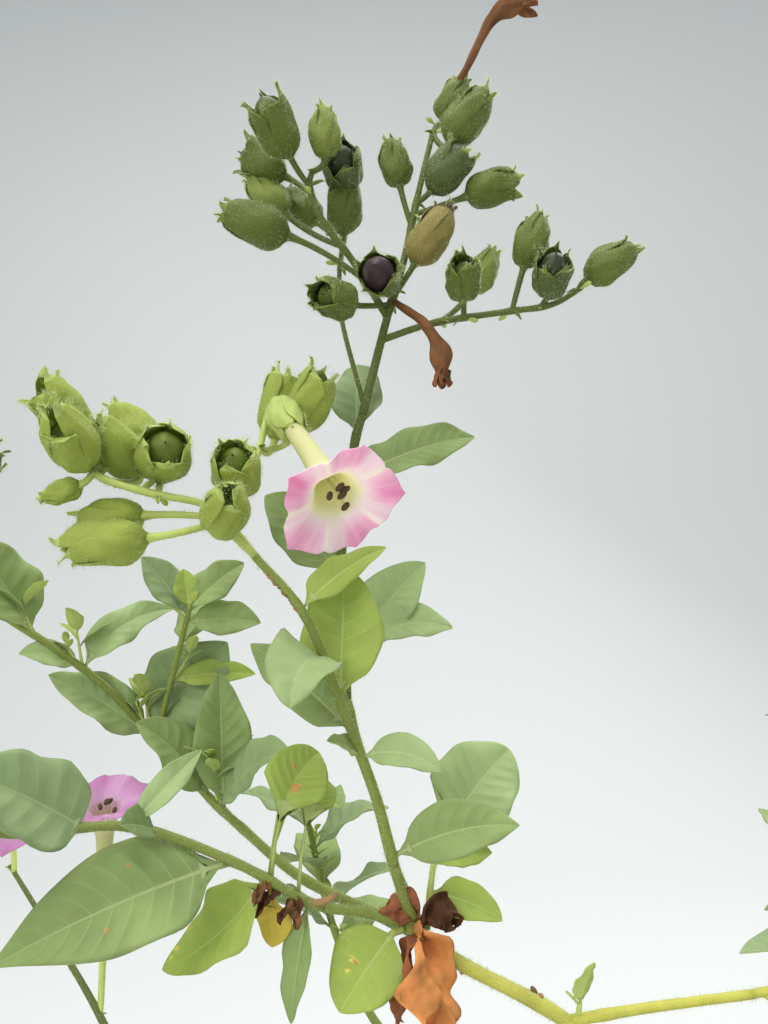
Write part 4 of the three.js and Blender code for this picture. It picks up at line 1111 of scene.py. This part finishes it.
# The shade of each leaf that the photograph shows, by mass and twig. Some are paler or darker than
# the leaf's own tone: painted light where a leaf glows from behind or faces away from the light, and
# painted shadow where it stands in shade
SHADES = {
    ("front_leaves", 0): "sage pale sage sage bright pale bright",
    ("rear_leaves", 0): "pale pale sage sage sage grey",
    ("fork_shoot", 0): "bright bright pale",
    ("fork_leaf", 0): "bright",
    ("axil_sprout", 0): "bright bright",
    ("left_leaves", 0): "sage bright bright sage deep pale pale grey sage sage grey bright yellow",
    ("back_left_leaves", 0): "sage grey sage pale pale grey pale pale sage grey sage",
    ("back_left_leaves", 1): "bright sage sage grey sage bright",
}
# How pointed the base and the tip of some of these leaves are, how wavy they are and how far they
# bend aside, by the leaf's number on its twig
FORMS = {
    ("front_leaves", 0): {
        0: (0.6, 0.9, 0.16, 10), 3: (0.42, 0.78, 0.2, -28), 5: (0.6, 0.9, 0.16, 12),
        6: (0.5, 0.95, 0.16, 20),
    },
    ("rear_leaves", 0): {
        1: (0.6, 0.8, 0.16, -14), 3: (0.6, 0.8, 0.2, 14), 4: (0.55, 0.75, 0.2, -18),
    },
    ("left_leaves", 0): {
        2: (0.45, 0.8, 0.12, 8), 3: (0.6, 1.15, 0.13, 7), 5: (0.6, 0.95, 0.2, -14),
        7: (0.36, 0.6, 0.1, 0), 12: (0.5, 0.7, 0.12, 0),
    },
    ("fork_leaf", 0): {0: (0.5, 0.75, 0.12, 8)},
    ("fork_shoot", 0): {2: (0.4, 0.6, 0.14, 10)},
    ("back_left_leaves", 0): {
        0: (0.6, 0.85, 0.14, 26), 4: (0.5, 0.8, 0.2, -16), 5: (0.45, 0.8, 0.16, 14),
        6: (0.6, 1.0, 0.2, -20),
    },
}
# Spots on their leaves: place along, place across, size and colour
SPOTS = {
    ("left_leaves", 0): {
        1: [(0.62, 0.15, 1.4, "orange"), (0.72, -0.3, 0.7, "orange")],
        2: [(0.8, 0.75, 1.3, "yellow"), (0.88, 0.55, 1.1, "yellow"), (0.6, 0.86, 0.9, "yellow")],
        3: [(0.5, -0.45, 0.6, "orange"), (0.36, 0.5, 0.5, "orange"), (0.66, 0.2, 0.45, "orange")],
    },
    ("fork_leaf", 0): {0: [(0.48, 0.3, 0.8, "orange"), (0.5, 0.36, 1.8, "yellow")]},
    ("back_left_leaves", 0): {3: [(0.55, 0.3, 0.9, "yellow"), (0.7, -0.35, 0.7, "yellow")]},
    ("rear_leaves", 0): {1: [(0.6, 0.6, 0.7, "yellow")]},
}
PHOTO_MASSES = (
    "front_leaves", "rear_leaves", "fork_shoot", "fork_leaf", "axil_sprout", "left_leaves",
)
SIDE_MASSES = ("back_left_leaves", "right_leaves", "low_left_leaves", "back_leaves")
DRY_MASS = "withered_leaves"
STEM_LOOKS = {
    "fork_shoot": "stem_bright",
    "fork_leaf": "stem_bright",
    "axil_sprout": "stem_bright",
    "left_leaves": "stem_left",
    "left_bough": "stem_left",
    "right_leaves": "stem_yellow",
    "right_bough": "stem_yellow",
    "rear_leaves": "stem_rear",
}


def leaf_group(mass):
    return "photo" if mass in PHOTO_MASSES else "side" if mass in SIDE_MASSES else "rest"


TRUNK_NODES = [0.14, 0.25, 0.36, 0.45, 0.53, 0.61, 0.68, 0.75, 0.81, 0.87, 0.925, 0.965]


def make_limbs():
    trunk = Line(TRUNK_PATH)

    def radius(share, turn):
        flare = np.exp(-share * trunk.length / FLARE["height"])
        ribs = 1 + FLARE["depth"] * flare * np.cos(FLARE["ribs"] * turn)
        size = TRUNK_TIP_RADIUS + (FLARE["radius"] - TRUNK_TIP_RADIUS) * (1 - share) ** TRUNK_TAPER
        size = size + FLARE["flare"] * flare
        bulge = sum(hump((share - node) * trunk.length, 4.5) for node in TRUNK_NODES)
        bark = 0.022 * np.cos(11 * turn + 9 * share) + 0.014 * np.sin(19 * turn + 31 * share)
        bark = bark + 0.012 * np.sin(140 * share + 3 * np.sin(2 * turn))
        inside = smooth(0, 5, (1 - share) * trunk.length)
        return size * ribs * (1 + inside * (0.1 * bulge * (0.5 + 0.5 * share) + bark))

    shades = [(0.62, "stem_middle"), (0.76, "stem_yellow")]
    tube(limbs, trunk, radius, "stem_main", sides=36, step=2.2, foot=UP, shades=shades)
    for k, node in enumerate(TRUNK_NODES):
        add_scar(trunk, node, GOLDEN_ANGLE * k, radius(node, 0.0))
    for name, place, path, r0, r1 in BOUGHS:
        line = line_from(place, path)
        nodes = np.linspace(0.2, 0.95, max(2, int(line.length / 24)))
        shape = stem_radius(r0, r1, line.length, nodes)
        tube(limbs, line, shape, STEM_LOOKS.get(name, "stem_green"), sides=16, step=1.8)


def add_scar(line, share, turn, radius):
    """The scar that a fallen leaf leaves on the stem, below a small dry bud."""
    along = line.way(share)
    outward = turned(own_frame(along)[0], along, turn)
    middle = line.at(share) + outward * float(radius) * 0.93
    add_ellipsoid(limbs, middle, np.cross(along, outward), 1.1 + 0.14 * radius, 0.75, "scar")
    bud = middle + along * 1.8 + outward * 0.3
    add_ellipsoid(limbs, bud, unit(along + 0.6 * outward), 1.3, 0.7, "scar_dark")


# A sprout's leaves: their number, size and width as shares, and turn, rise and droop in degrees
SPROUT = {"leaves": 3, "small": (0.14, 0.24), "width": 0.36, "turn": 125, "rise": 48, "droop": 25}


def add_axil_sprout(pile, root, row, stem_way, seed, size=1.0):
    """A young sprout above a leaf's root: a short twig with a few small leaves."""
    numbers = np.random.default_rng(seed)
    _, azimuth, rise, length, *_ = row
    reach = size * (3.0 + 0.09 * length)
    way = unit(heading(azimuth, min(rise + 28, 85)) + 0.5 * stem_way)
    line = Line([root, root + way * reach * 0.5, root + way * reach + 0.15 * reach * UP])
    small_tube(twigs, line, lambda s, t: 0.55 - 0.2 * s, "stem_bright", 7, 6)
    for k in range(SPROUT["leaves"]):
        small = size * length * numbers.uniform(*SPROUT["small"])
        turn = azimuth + SPROUT["turn"] * k + 30 * numbers.uniform(-1, 1)
        leaf = [1, turn, SPROUT["rise"], small, small * SPROUT["width"], SPROUT["droop"], 0, 0.1]
        blade = Blade(line.at(0.6 + 0.18 * k), leaf, seed + k, bend=20)
        add_leaf(pile, blade, "bright" if k else "sage", veins=3, spans=3, thick=0.2)


# Dry leaves on the left twig: share of the twig, azimuth, rise, length and width
DRY_BITS = [
    (0.055, -130, -15, 8, 3.5),
    (0.075, -60, -50, 8, 3.5),
    (0.1, -150, -25, 9, 3.5),
    (0.13, -110, -10, 8, 3),
]


def add_dry_bits(line):
    """Withered leaves that hang round the left twig's first knot, and the stub above them."""
    for k, (share, azimuth, rise, length, width) in enumerate(DRY_BITS):
        row = [share, azimuth, rise, length, width, 30, 0, 0.1]
        look = ("withered_dark", "withered_flower")[k % 2]
        blade = Blade(line.at(share), row, 900 + k, bend=40, wave=0.3, crumple=0.6)
        add_leaf(withered, blade, look, look, look, veins=4, spans=4, thick=0.2)
    start = line.at(0.03)
    stub = Line([start, start + np.array([3.2, -1.4, 1.0]), start + np.array([6.6, -2.0, 2.8])])
    small_tube(withered, stub, lambda s, t: 0.9 - 0.25 * s + 0.08 * np.sin(3 * t), "scar", 9, 8)


# Where the dots on the front twig start and end, how many they are and how far from its middle
DOTS = (0.77, 0.95, 26, 1.1)


def add_dots(line, first, last, count, radius):
    """Small dark seeds and grains that stick to the underside of a stem."""
    numbers = np.random.default_rng(77)
    for share in np.linspace(first, last, count) + numbers.normal(0, 0.004, count):
        along = line.way(share)
        side = unit(np.cross(along, [0.0, 1.0, 0.0]))
        side = side if side[0] < 0 else -side
        outward = turned(side, along, numbers.uniform(-35, 50))
        size = numbers.uniform(0.28, 0.5)
        add_ellipsoid(twigs, line.at(share) + outward * radius, along, size * 1.3, size, "scar")


DRY_LOOKS = ("withered", "withered_red", "withered_dark", "withered_red")
RULE_SHADES = ["sage", "pale", "grey", "deep", "sage"]
LEAF_SEEDS = 7  # from one leaf's seed to the next
LAST_ROOT = 0.985  # the last share of a twig where a leaf can stand
VEIN_GAP, LONG_LEAF = 4.6, 30  # millimetres


def add_dry_leaf(root, row, seed, k):
    """One of the withered leaves at the fork. The first is crumpled most."""
    blade = Blade(root, row, seed, bend=25, wave=0.3, crumple=1.7 if k == 0 else 1.2)
    add_leaf(withered, blade, DRY_LOOKS[k], DRY_LOOKS[k], DRY_LOOKS[k], veins=9, spans=8)


def add_green_leaf(pile, root, row, seed, twig, k, shade):
    """Leaf k of a twig, with its spots. shade is None where the photograph doesn't show it."""
    common = (0.6, 0.85, 0.12, 5) if shade else (0.6, pick.uniform(0.8, 1.1), 0.15, 16)
    base_form, tip_form, wave, bend = FORMS.get(twig, {}).get(k, common)
    blade = Blade(root, row, seed, bend=bend, wave=wave, form=(base_form, tip_form))
    shade = shade or pick.choice(RULE_SHADES)
    veins = int(np.clip(blade.length / VEIN_GAP, 4, 10))
    add_leaf(pile, blade, shade, veins=veins, spans=7 if blade.length > LONG_LEAF else 6)
    for v, u, size, colour in SPOTS.get(twig, {}).get(k, []):
        add_spot(pile, blade, v, u, size, "spot_" + colour, veins)


def make_shoots():
    seed = 100
    for mass, place, shoot_twigs in SHOOTS:
        pile = leaf_piles[leaf_group(mass)]
        for number, (path, radii, leaves) in enumerate(shoot_twigs):
            line = line_from(place, path)
            shape = stem_radius(*radii, line.length, [row[0] for row in leaves])
            tube(twigs, line, shape, STEM_LOOKS.get(mass, "stem_green"), sides=14, step=1.6)
            shades = SHADES.get((mass, number), "").split()
            for k, row in enumerate(leaves):
                seed += LEAF_SEEDS
                root = line.at(min(row[0], LAST_ROOT))
                shade = shades[k] if shades else None
                if mass == DRY_MASS:
                    add_dry_leaf(root, row, seed, k)
                    continue
                add_green_leaf(pile, root, row, seed, (mass, number), k, shade)
                if mass == "back_left_leaves" and row[0] < 0.8:
                    add_axil_sprout(pile, root, row, line.way(row[0]), seed, 1.7)
                elif not shades:
                    add_axil_sprout(pile, root, row, line.way(row[0]), seed)
            if mass == "left_leaves":
                add_dry_bits(line)
            if mass == "front_leaves":
                add_dots(line, *DOTS)


PALE_LOOKS = ("cup_light", "case_green", "cup_young")
# A fruit's form: the calyx's six numbers, the height of its seed case, and the looks of its calyx,
# seed case and lobes where they aren't plain
FRUIT_FORMS = {
    "closed": ((1.0, 0.6, 0.98, 0.6, 0.24, 0.1), 0.72, None),
    "long": ((0.9, 0.52, 1.0, 0.62, 0.3, 0.25), 0.7, None),
    "pale": ((1.0, 0.6, 0.98, 0.55, 0.22, 0.1), 0.74, PALE_LOOKS),
    "curled": ((1.0, 0.55, 1.04, 0.62, 0.28, 0.5), 0.72, None),
    "half": ((1.0, 0.62, 0.96, 0.62, 0.38, 0.2), 0.78, None),
    "open": ((1.0, 0.56, 0.86, 0.75, 0.6, 0.25), 0.84, None),
    "round": ((1.0, 0.62, 0.88, 0.72, 0.42, 0.0), 0.82, None),
    "star": ((1.0, 0.6, 0.98, 0.58, 0.15, 0.1), 0.78, None),
    "bud": ((0.95, 0.72, 0.98, 0.6, 0.14, 0.0), 0.7, None),
    "dome": ((1.0, 0.5, 0.7, 0.9, 0.84, 0.15), 0.93, ("cup_green", "case_purple", "cup_light")),
    "dark": ((1.0, 0.52, 0.84, 0.8, 0.55, 0.1), 0.86, ("cup_deep", "case_dark", "cup_light")),
    "ripe": ((0.92, 0.62, 0.96, 0.6, 0.22, 0.05), 0.8, ("cup_ripe", "case_brown", "cup_dry")),
}
# The forms of the fruits that the photograph shows, by head and arm
HEAD_FORMS = {
    "front_fruits": [
        "star",
        "long long round closed closed curled curled bud",
        "round half half",
        "",
    ],
    "rear_fruits": [
        "half dome ripe closed curled dark closed closed",
        "closed pale closed open open pale",
        "pale half closed dark closed",
        "closed dark",
        "",
        "",
    ],
}
COMMON_FORMS = ["closed", "closed", "half", "open", "curled", "pale"]
# The looks of a plain calyx, its seed case and its lobes, on young heads and on old ones. The old
# ones are darker, partly in their own colour and partly as painted shade of backlit heads
YOUNG_LOOKS = ("cup_young", "case_young", "cup_bright")
OLD_AND_SHADED_LOOKS = ("cup_green", "case_green", "cup_light")
YOUNG_HEADS = ("front_fruits", "left_fruits", "right_fruits")
FRUIT_SEEDS = 3  # from one fruit's or flower's seed to the next
LAST_STALK = 0.99  # the last share of an arm where a stalk can stand


def make_heads():
    seed = 1000
    for mass, place, arms, head_flowers in HEADS:
        young = mass in YOUNG_HEADS
        plain = YOUNG_LOOKS if young else OLD_AND_SHADED_LOOKS
        pile = fruits["photo" if mass in HEAD_FORMS else "rest"]
        lines = []
        for number, (path, radii, arm_fruits) in enumerate(arms):
            line = line_from(place, path)
            lines.append(line)
            if not arm_fruits and mass == "rear_fruits":
                add_withered_flower(withered, line, radii, seed + number)
                continue
            shares = [fruit[0] for fruit in arm_fruits]
            shape = stem_radius(*radii, line.length, shares, swelling=0.18)
            tube(twigs, line, shape, "stem_bright" if young else "stem_rear", sides=12, step=1.3)
            shown = HEAD_FORMS[mass][number].split() if mass in HEAD_FORMS else None
            for k, (share, base, axis, size) in enumerate(arm_fruits):
                seed += FRUIT_SEEDS
                form, height, looks = FRUIT_FORMS[shown[k] if shown else pick.choice(COMMON_FORMS)]
                if looks is None or (young and looks == PALE_LOOKS):
                    looks = plain
                base = place + np.array(base)
                where = min(share, LAST_STALK), base, unit(axis)
                add_fruit(pile, line, *where, size, form, height, looks, seed, young)
        for name, arm, share, base, axis, size, spin in head_flowers:
            seed += FRUIT_SEEDS
            look = "petal_lilac" if name.startswith("left") else "petal"
            base = place + np.array(base)
            add_flower(pile, lines[arm], share, base, unit(axis), size, spin, look, seed)


def add_bracts(pile, line, share, seed):
    """The small leaf under a stalk and, on some, a bud that stayed small."""
    numbers = np.random.default_rng(seed)
    root, way = line.at(share), line.way(share)
    azimuth = numbers.uniform(0, 360)
    lean = 30 * numbers.uniform(-1, 1)
    long = numbers.uniform(3, 5)
    blade = Blade(root, [share, azimuth, lean, long, 0.34 * long, 30, 0, 0.05], seed, bend=20)
    add_leaf(pile, blade, "cup_bright", "cup_light", "cup_light", veins=2, spans=2, thick=0.2)
    if numbers.uniform() < 0.55:
        outward = unit(heading(azimuth + 130, lean) + 0.3 * way)
        stalk = Line([root, root + outward * 1.2, root + outward * 2.4])
        small_tube(twigs, stalk, lambda s, t: 0.42 - 0.05 * s, "stem_bright", 6, 3)
        add_ellipsoid(pile, root + outward * 3.2, outward, 1.5, 0.75, "cup_bright")


# How far a seed case keeps from the wall of a closed calyx and of an open one, and the height of a
# case below which its calyx is closed
CLOSED_GAP, OPEN_GAP, CLOSED_BELOW = 0.65, 0.1, 0.75


def add_fruit(pile, line, share, base, axis, size, form, height, looks, seed, young):
    numbers = np.random.default_rng(seed)
    stalk = stalk_line(line.at(share), base, axis)
    shape = stem_radius(0.8, 0.95, stalk.length, swelling=0, ridges=0.02)

    def radius(s, t):
        return shape(s, t) * (1 + 0.45 * smooth(0.8, 1, s))

    tube(twigs, stalk, radius, "stem_bright" if young else "stem_rear", sides=10, step=0.9)
    add_bracts(pile, line, share, seed + 1)
    frame_of = own_frame(axis, 72 * numbers.uniform())
    length, wide = CAPSULE["length"] * size, CAPSULE["radius"] * size
    cup, case, tips = looks
    detail = "fine" if pile is fruits["photo"] else "coarse"
    add_cup(pile, base, frame_of, length, wide, numbers, form, cup, tips, detail)
    inside = wide * form[0] - (CLOSED_GAP if height < CLOSED_BELOW else OPEN_GAP)
    add_seedcase(pile, base, frame_of, length, inside, height, case, "style")


FLOWER_CUP = (1.0, 0.66, 1.06, 0.7, 0.6, 0.05)


def add_flower(pile, line, share, base, axis, size, spin, look, seed):
    numbers = np.random.default_rng(seed)
    stalk = stalk_line(line.at(share), base, axis)
    shape = stem_radius(0.9, 1.1, stalk.length, swelling=0)
    tube(twigs, stalk, shape, "stem_bright", sides=10, step=0.9)
    add_bracts(pile, line, share, seed + 1)
    frame_of = own_frame(axis, 36)
    length, wide = CALYX["length"] * size * 1.1, CALYX["radius"] * size
    add_cup(pile, base, frame_of, length, wide, numbers, FLOWER_CUP, "cup_bright", "cup_young")
    add_corolla(flowers, base, axis, size, spin, seed, look)


# Materials: sRGB colour, roughness, share of light let through, and kind of relief

LOOKS = {
    "sage": ((156, 176, 110), 0.62, 0.34, "leaf"),
    "pale": ((172, 192, 132), 0.6, 0.3, "leaf"),
    # bright: the young leaves' own yellow-green, made paler as painted light where they glow from
    # behind
    "bright": ((182, 200, 100), 0.58, 0.42, "leaf"),
    "deep": ((128, 148, 90), 0.6, 0.28, "leaf"),
    "grey": ((150, 170, 118), 0.64, 0.28, "leaf"),
    "yellow": ((224, 188, 44), 0.66, 0.35, "leaf"),
    "spot_orange": ((204, 150, 84), 0.7, 0.1, "smooth"),
    "spot_yellow": ((216, 204, 92), 0.7, 0.1, "smooth"),
    "stem_main": ((150, 160, 92), 0.62, 0, "bark"),
    "stem_middle": ((160, 164, 78), 0.62, 0, "bark"),
    "stem_yellow": ((176, 173, 72), 0.6, 0, "bark"),
    "stem_green": ((124, 136, 60), 0.6, 0, "stem"),
    "stem_left": ((126, 138, 64), 0.6, 0, "stem"),
    # stem_rear: the stems' green darkened as painted shade, for stems that stand against the light
    "stem_rear": ((88, 100, 42), 0.6, 0, "stem"),
    "stem_bright": ((184, 196, 104), 0.6, 0, "stem"),
    "scar": ((150, 118, 78), 0.85, 0, "bark"),
    "scar_dark": ((112, 82, 58), 0.85, 0, "bark"),
    "cup_young": ((166, 180, 78), 0.62, 0.26, "cup"),
    "cup_bright": ((196, 210, 118), 0.6, 0.28, "cup"),
    # cup_green and cup_light: the old calyces' own darker green, deepened as painted shade of
    # backlit heads
    "cup_green": ((100, 112, 44), 0.62, 0.15, "cup"),
    "cup_light": ((134, 146, 66), 0.62, 0.2, "cup"),
    "cup_deep": ((82, 96, 48), 0.62, 0.12, "cup"),
    "cup_ripe": ((140, 126, 66), 0.66, 0.12, "cup"),
    "cup_dry": ((84, 62, 48), 0.7, 0.1, "cup"),
    # case_young, case_green, case_dark and case_purple: partly own colour, partly painted shade of
    # the calyx
    "case_young": ((102, 118, 40), 0.55, 0.1, "smooth"),
    "case_green": ((84, 96, 34), 0.5, 0.05, "smooth"),
    "case_dark": ((52, 62, 36), 0.42, 0, "smooth"),
    "case_brown": ((82, 54, 48), 0.55, 0, "smooth"),
    "case_purple": ((58, 42, 46), 0.5, 0, "smooth"),
    "style": ((72, 58, 42), 0.8, 0, "smooth"),
    "petal": (None, 0.55, 0.45, "petal"),
    "petal_lilac": (None, 0.55, 0.45, "petal"),
    "anther": ((84, 64, 46), 0.85, 0, "smooth"),
    "filament": ((226, 226, 180), 0.6, 0.2, "smooth"),
    "withered": ((222, 150, 84), 0.85, 0.2, "dry"),
    "withered_red": ((150, 92, 58), 0.85, 0.15, "dry"),
    "withered_dark": ((88, 54, 30), 0.88, 0.1, "dry"),
    "withered_flower": ((120, 80, 48), 0.88, 0.1, "dry"),
    "hair": ((212, 220, 166), 0.5, 0.45, "smooth"),
}
# A leaf's underside, side veins and midrib are paler than its face by these shares
PALER = {"_under": (0.35, 0.75), "_vein": (0.3, 0.6), "_rib": (0.5, 0.6)}
VEIN = np.array([206, 214, 160])
for shade in ("sage", "pale", "bright", "deep", "grey", "yellow"):
    for part, (share, rough) in PALER.items():
        mixed = tuple(np.array(LOOKS[shade][0]) * (1 - share) + VEIN * share)
        LOOKS[shade + part] = (mixed, rough, 0.3, "leaf" if part == "_under" else "smooth")
# The colours of a flower from its green foot through the cream throat to the pink of the petals.
# In petal, the cream of the tube and throat is paler than its own colour, as painted light in the
# throat
PETAL_COLOURS = {
    "petal": [
        (0.0, (224, 224, 168)), (0.18, (244, 240, 194)), (0.34, (252, 248, 216)),
        (0.45, (252, 238, 240)), (0.72, (248, 204, 224)), (1.0, (238, 154, 196)),
    ],
    "petal_lilac": [
        (0.0, (206, 214, 140)), (0.2, (236, 226, 196)), (0.36, (232, 196, 224)),
        (0.6, (226, 176, 216)), (1.0, (214, 146, 200)),
    ],
}
# Relief: size of the pattern in millimetres and its depth in millimetres
RELIEFS = {
    "leaf": (1.5, 0.12),
    "stem": (0.8, 0.08),
    "bark": (1.6, 0.2),
    "cup": (1.1, 0.22),
    "petal": (1.4, 0.05),
    "dry": (0.9, 0.25),
}


def linear(colour):
    """An sRGB colour from 0 to 255 as Blender's linear colour."""
    shares = np.array(colour) / 255
    return [*np.where(shares <= 0.04045, shares / 12.92, ((shares + 0.055) / 1.055) ** 2.4), 1.0]


made = {}


def add_node(nodes, kind, **settings):
    """A node of a material, with the inputs that settings name."""
    node = nodes.new(kind)
    for name, value in settings.items():
        node.inputs[name].default_value = value
    return node


def material(look):
    if look in made:
        return made[look]
    colour, roughness, through, relief = LOOKS[look]
    made[look] = mat = bpy.data.materials.new(look)
    mat.use_nodes = True
    nodes, links = mat.node_tree.nodes, mat.node_tree.links
    skin = nodes["Principled BSDF"]
    skin.inputs["Roughness"].default_value = roughness
    skin.inputs["Specular IOR Level"].default_value = 0.35
    place = nodes.new("ShaderNodeTexCoord")
    shade = None
    if relief == "petal":
        tint = nodes.new("ShaderNodeAttribute")
        tint.attribute_name = "tint"
        stops = [(spot, linear(value)) for spot, value in PETAL_COLOURS[look]]
        shade = add_ramp(nodes, links, tint.outputs["Fac"], stops)
    elif relief != "smooth":
        scale = 90 if relief in ("leaf", "bark") else 160
        noise = add_node(nodes, "ShaderNodeTexNoise", Scale=scale, Detail=3)
        links.new(place.outputs["Object"], noise.inputs["Vector"])
        base = np.array(linear(colour)[:3])
        spread = 0.3 if relief in ("dry", "bark") else 0.1
        stops = [(0.3, [*(base * (1 - spread)), 1]), (0.7, [*(base * (1 + spread)), 1])]
        shade = add_ramp(nodes, links, noise.outputs["Fac"], stops)
    else:
        skin.inputs["Base Color"].default_value = linear(colour)
    if shade is not None:
        links.new(shade, skin.inputs["Base Color"])
    if relief in RELIEFS:
        add_relief(nodes, links, place, skin, relief)
    if through:
        glow = nodes.new("ShaderNodeBsdfTranslucent")
        if shade is not None:
            links.new(shade, glow.inputs["Color"])
        else:
            glow.inputs["Color"].default_value = linear(colour)
        mix = add_node(nodes, "ShaderNodeMixShader", Fac=through)
        links.new(skin.outputs["BSDF"], mix.inputs[1])
        links.new(glow.outputs["BSDF"], mix.inputs[2])
        links.new(mix.outputs["Shader"], nodes["Material Output"].inputs["Surface"])
    return mat


def add_ramp(nodes, links, source, stops):
    """The colour that a ramp with these stops gives for a source."""
    ramp = nodes.new("ShaderNodeValToRGB")
    elements = ramp.color_ramp.elements
    while len(elements) < len(stops):
        elements.new(0.5)
    for element, (spot, colour) in zip(elements, stops):
        element.position = spot
        element.color = colour
    links.new(source, ramp.inputs["Fac"])
    return ramp.outputs["Color"]


def add_relief(nodes, links, place, skin, relief):
    size, depth = RELIEFS[relief]
    scale = 1000 / size
    if relief in ("leaf", "cup"):
        texture = nodes.new("ShaderNodeTexVoronoi")
        texture.feature = "DISTANCE_TO_EDGE"
        texture.inputs["Scale"].default_value = scale
        height = texture.outputs["Distance"]
    else:
        texture = add_node(nodes, "ShaderNodeTexNoise", Scale=scale, Detail=4)
        height = texture.outputs["Fac"]
    links.new(place.outputs["Object"], texture.inputs["Vector"])
    bump = add_node(nodes, "ShaderNodeBump", Strength=0.6, Distance=depth / 1000)
    links.new(height, bump.inputs["Height"])
    links.new(bump.outputs["Normal"], skin.inputs["Normal"])


make_limbs()
make_shoots()
make_heads()

TWIG_NODES = [name for name, *_ in SHOOTS if name != DRY_MASS]
HEAD_NODES = [name for name, *_ in HEADS]
FLOWER_NODES = [flower[0] for *_, head_flowers in HEADS for flower in head_flowers]
limbs.piece("main_stem_and_boughs", "stem", "main_stem", *(bough[0] for bough in BOUGHS))
twigs.piece("twigs", "stem", *TWIG_NODES)
for name, group in (("in_front", "photo"), ("at_the_sides", "side"), ("behind", "rest")):
    nodes = [node for node in TWIG_NODES if leaf_group(node) == group]
    leaf_piles[group].piece("leaves_" + name, "leaf", *nodes)
SHOWN_HEADS = [node for node in HEAD_NODES if node in HEAD_FORMS]
OTHER_HEADS = [node for node in HEAD_NODES if node not in HEAD_FORMS]
fruits["photo"].piece("fruits_in_front", "fruit", *SHOWN_HEADS)
fruits["rest"].piece("fruits_around", "fruit", *OTHER_HEADS)
flowers.piece("flowers", "petal", *FLOWER_NODES)
withered.piece("withered_parts", "withered", DRY_MASS)
make_all_fuzz()


# The studio, in metres: a pale floor that curves up behind, and soft light from above and the left

# Where the floor starts to rise, the radius of its curve, and its edges
FLOOR = {"curve_at": 1.2, "curve": 0.8, "near": -3.0, "top": 4.0, "half": 4}
PLASTER = (0.62, 0.63, 0.61, 1)


def make_studio():
    bend = [(math.sin(a), 1 - math.cos(a)) for a in np.linspace(0, np.pi / 2, 12)]
    curve = [(FLOOR["curve_at"] + FLOOR["curve"] * s, FLOOR["curve"] * c) for s, c in bend]
    profile = [(FLOOR["near"], 0.0), *curve, (FLOOR["curve_at"] + FLOOR["curve"], FLOOR["top"])]
    corners = [(x, y, z) for y, z in profile for x in (-FLOOR["half"], FLOOR["half"])]
    faces = [(2 * i, 2 * i + 1, 2 * i + 3, 2 * i + 2) for i in range(len(profile) - 1)]
    mesh = bpy.data.meshes.new("studio")
    mesh.from_pydata(corners, [], faces)
    mesh.shade_smooth()
    plaster = bpy.data.materials.new("studio")
    plaster.use_nodes = True
    skin = plaster.node_tree.nodes["Principled BSDF"]
    skin.inputs["Base Color"].default_value = PLASTER
    skin.inputs["Roughness"].default_value = 0.9
    mesh.materials.append(plaster)
    floor = bpy.data.objects.new("studio", mesh)
    bpy.context.scene.collection.objects.link(floor)


# The lights: name, place, what they point at, size and power in watts
LIGHTS = [
    ("sky", (-0.3, -0.2, 2.2), (-0.15, 0, 0.4), 1.8, 36),
    ("front", (-1.3, -1.5, 1.1), (-0.15, 0, 0.45), 1.2, 17),
    ("back", (0.7, 1.1, 1.5), (-0.15, 0, 0.5), 0.9, 14),
]


def add_light(name, place, aim, size, power):
    light = bpy.data.lights.new(name, "AREA")
    light.size = size
    light.energy = power
    lamp = bpy.data.objects.new(name, light)
    lamp.location = place
    way = mathutils.Vector(aim) - mathutils.Vector(place)
    lamp.rotation_euler = way.to_track_quat("-Z", "Y").to_euler()
    bpy.context.scene.collection.objects.link(lamp)


make_studio()
for row in LIGHTS:
    add_light(*row)
world = bpy.data.worlds.new("studio")
world.use_nodes = True
world.node_tree.nodes["Background"].inputs["Color"].default_value = (0.9, 0.95, 1.0, 1)
world.node_tree.nodes["Background"].inputs["Strength"].default_value = 0.7
bpy.context.scene.world = world
bpy.context.scene.view_settings.view_transform = "Standard"
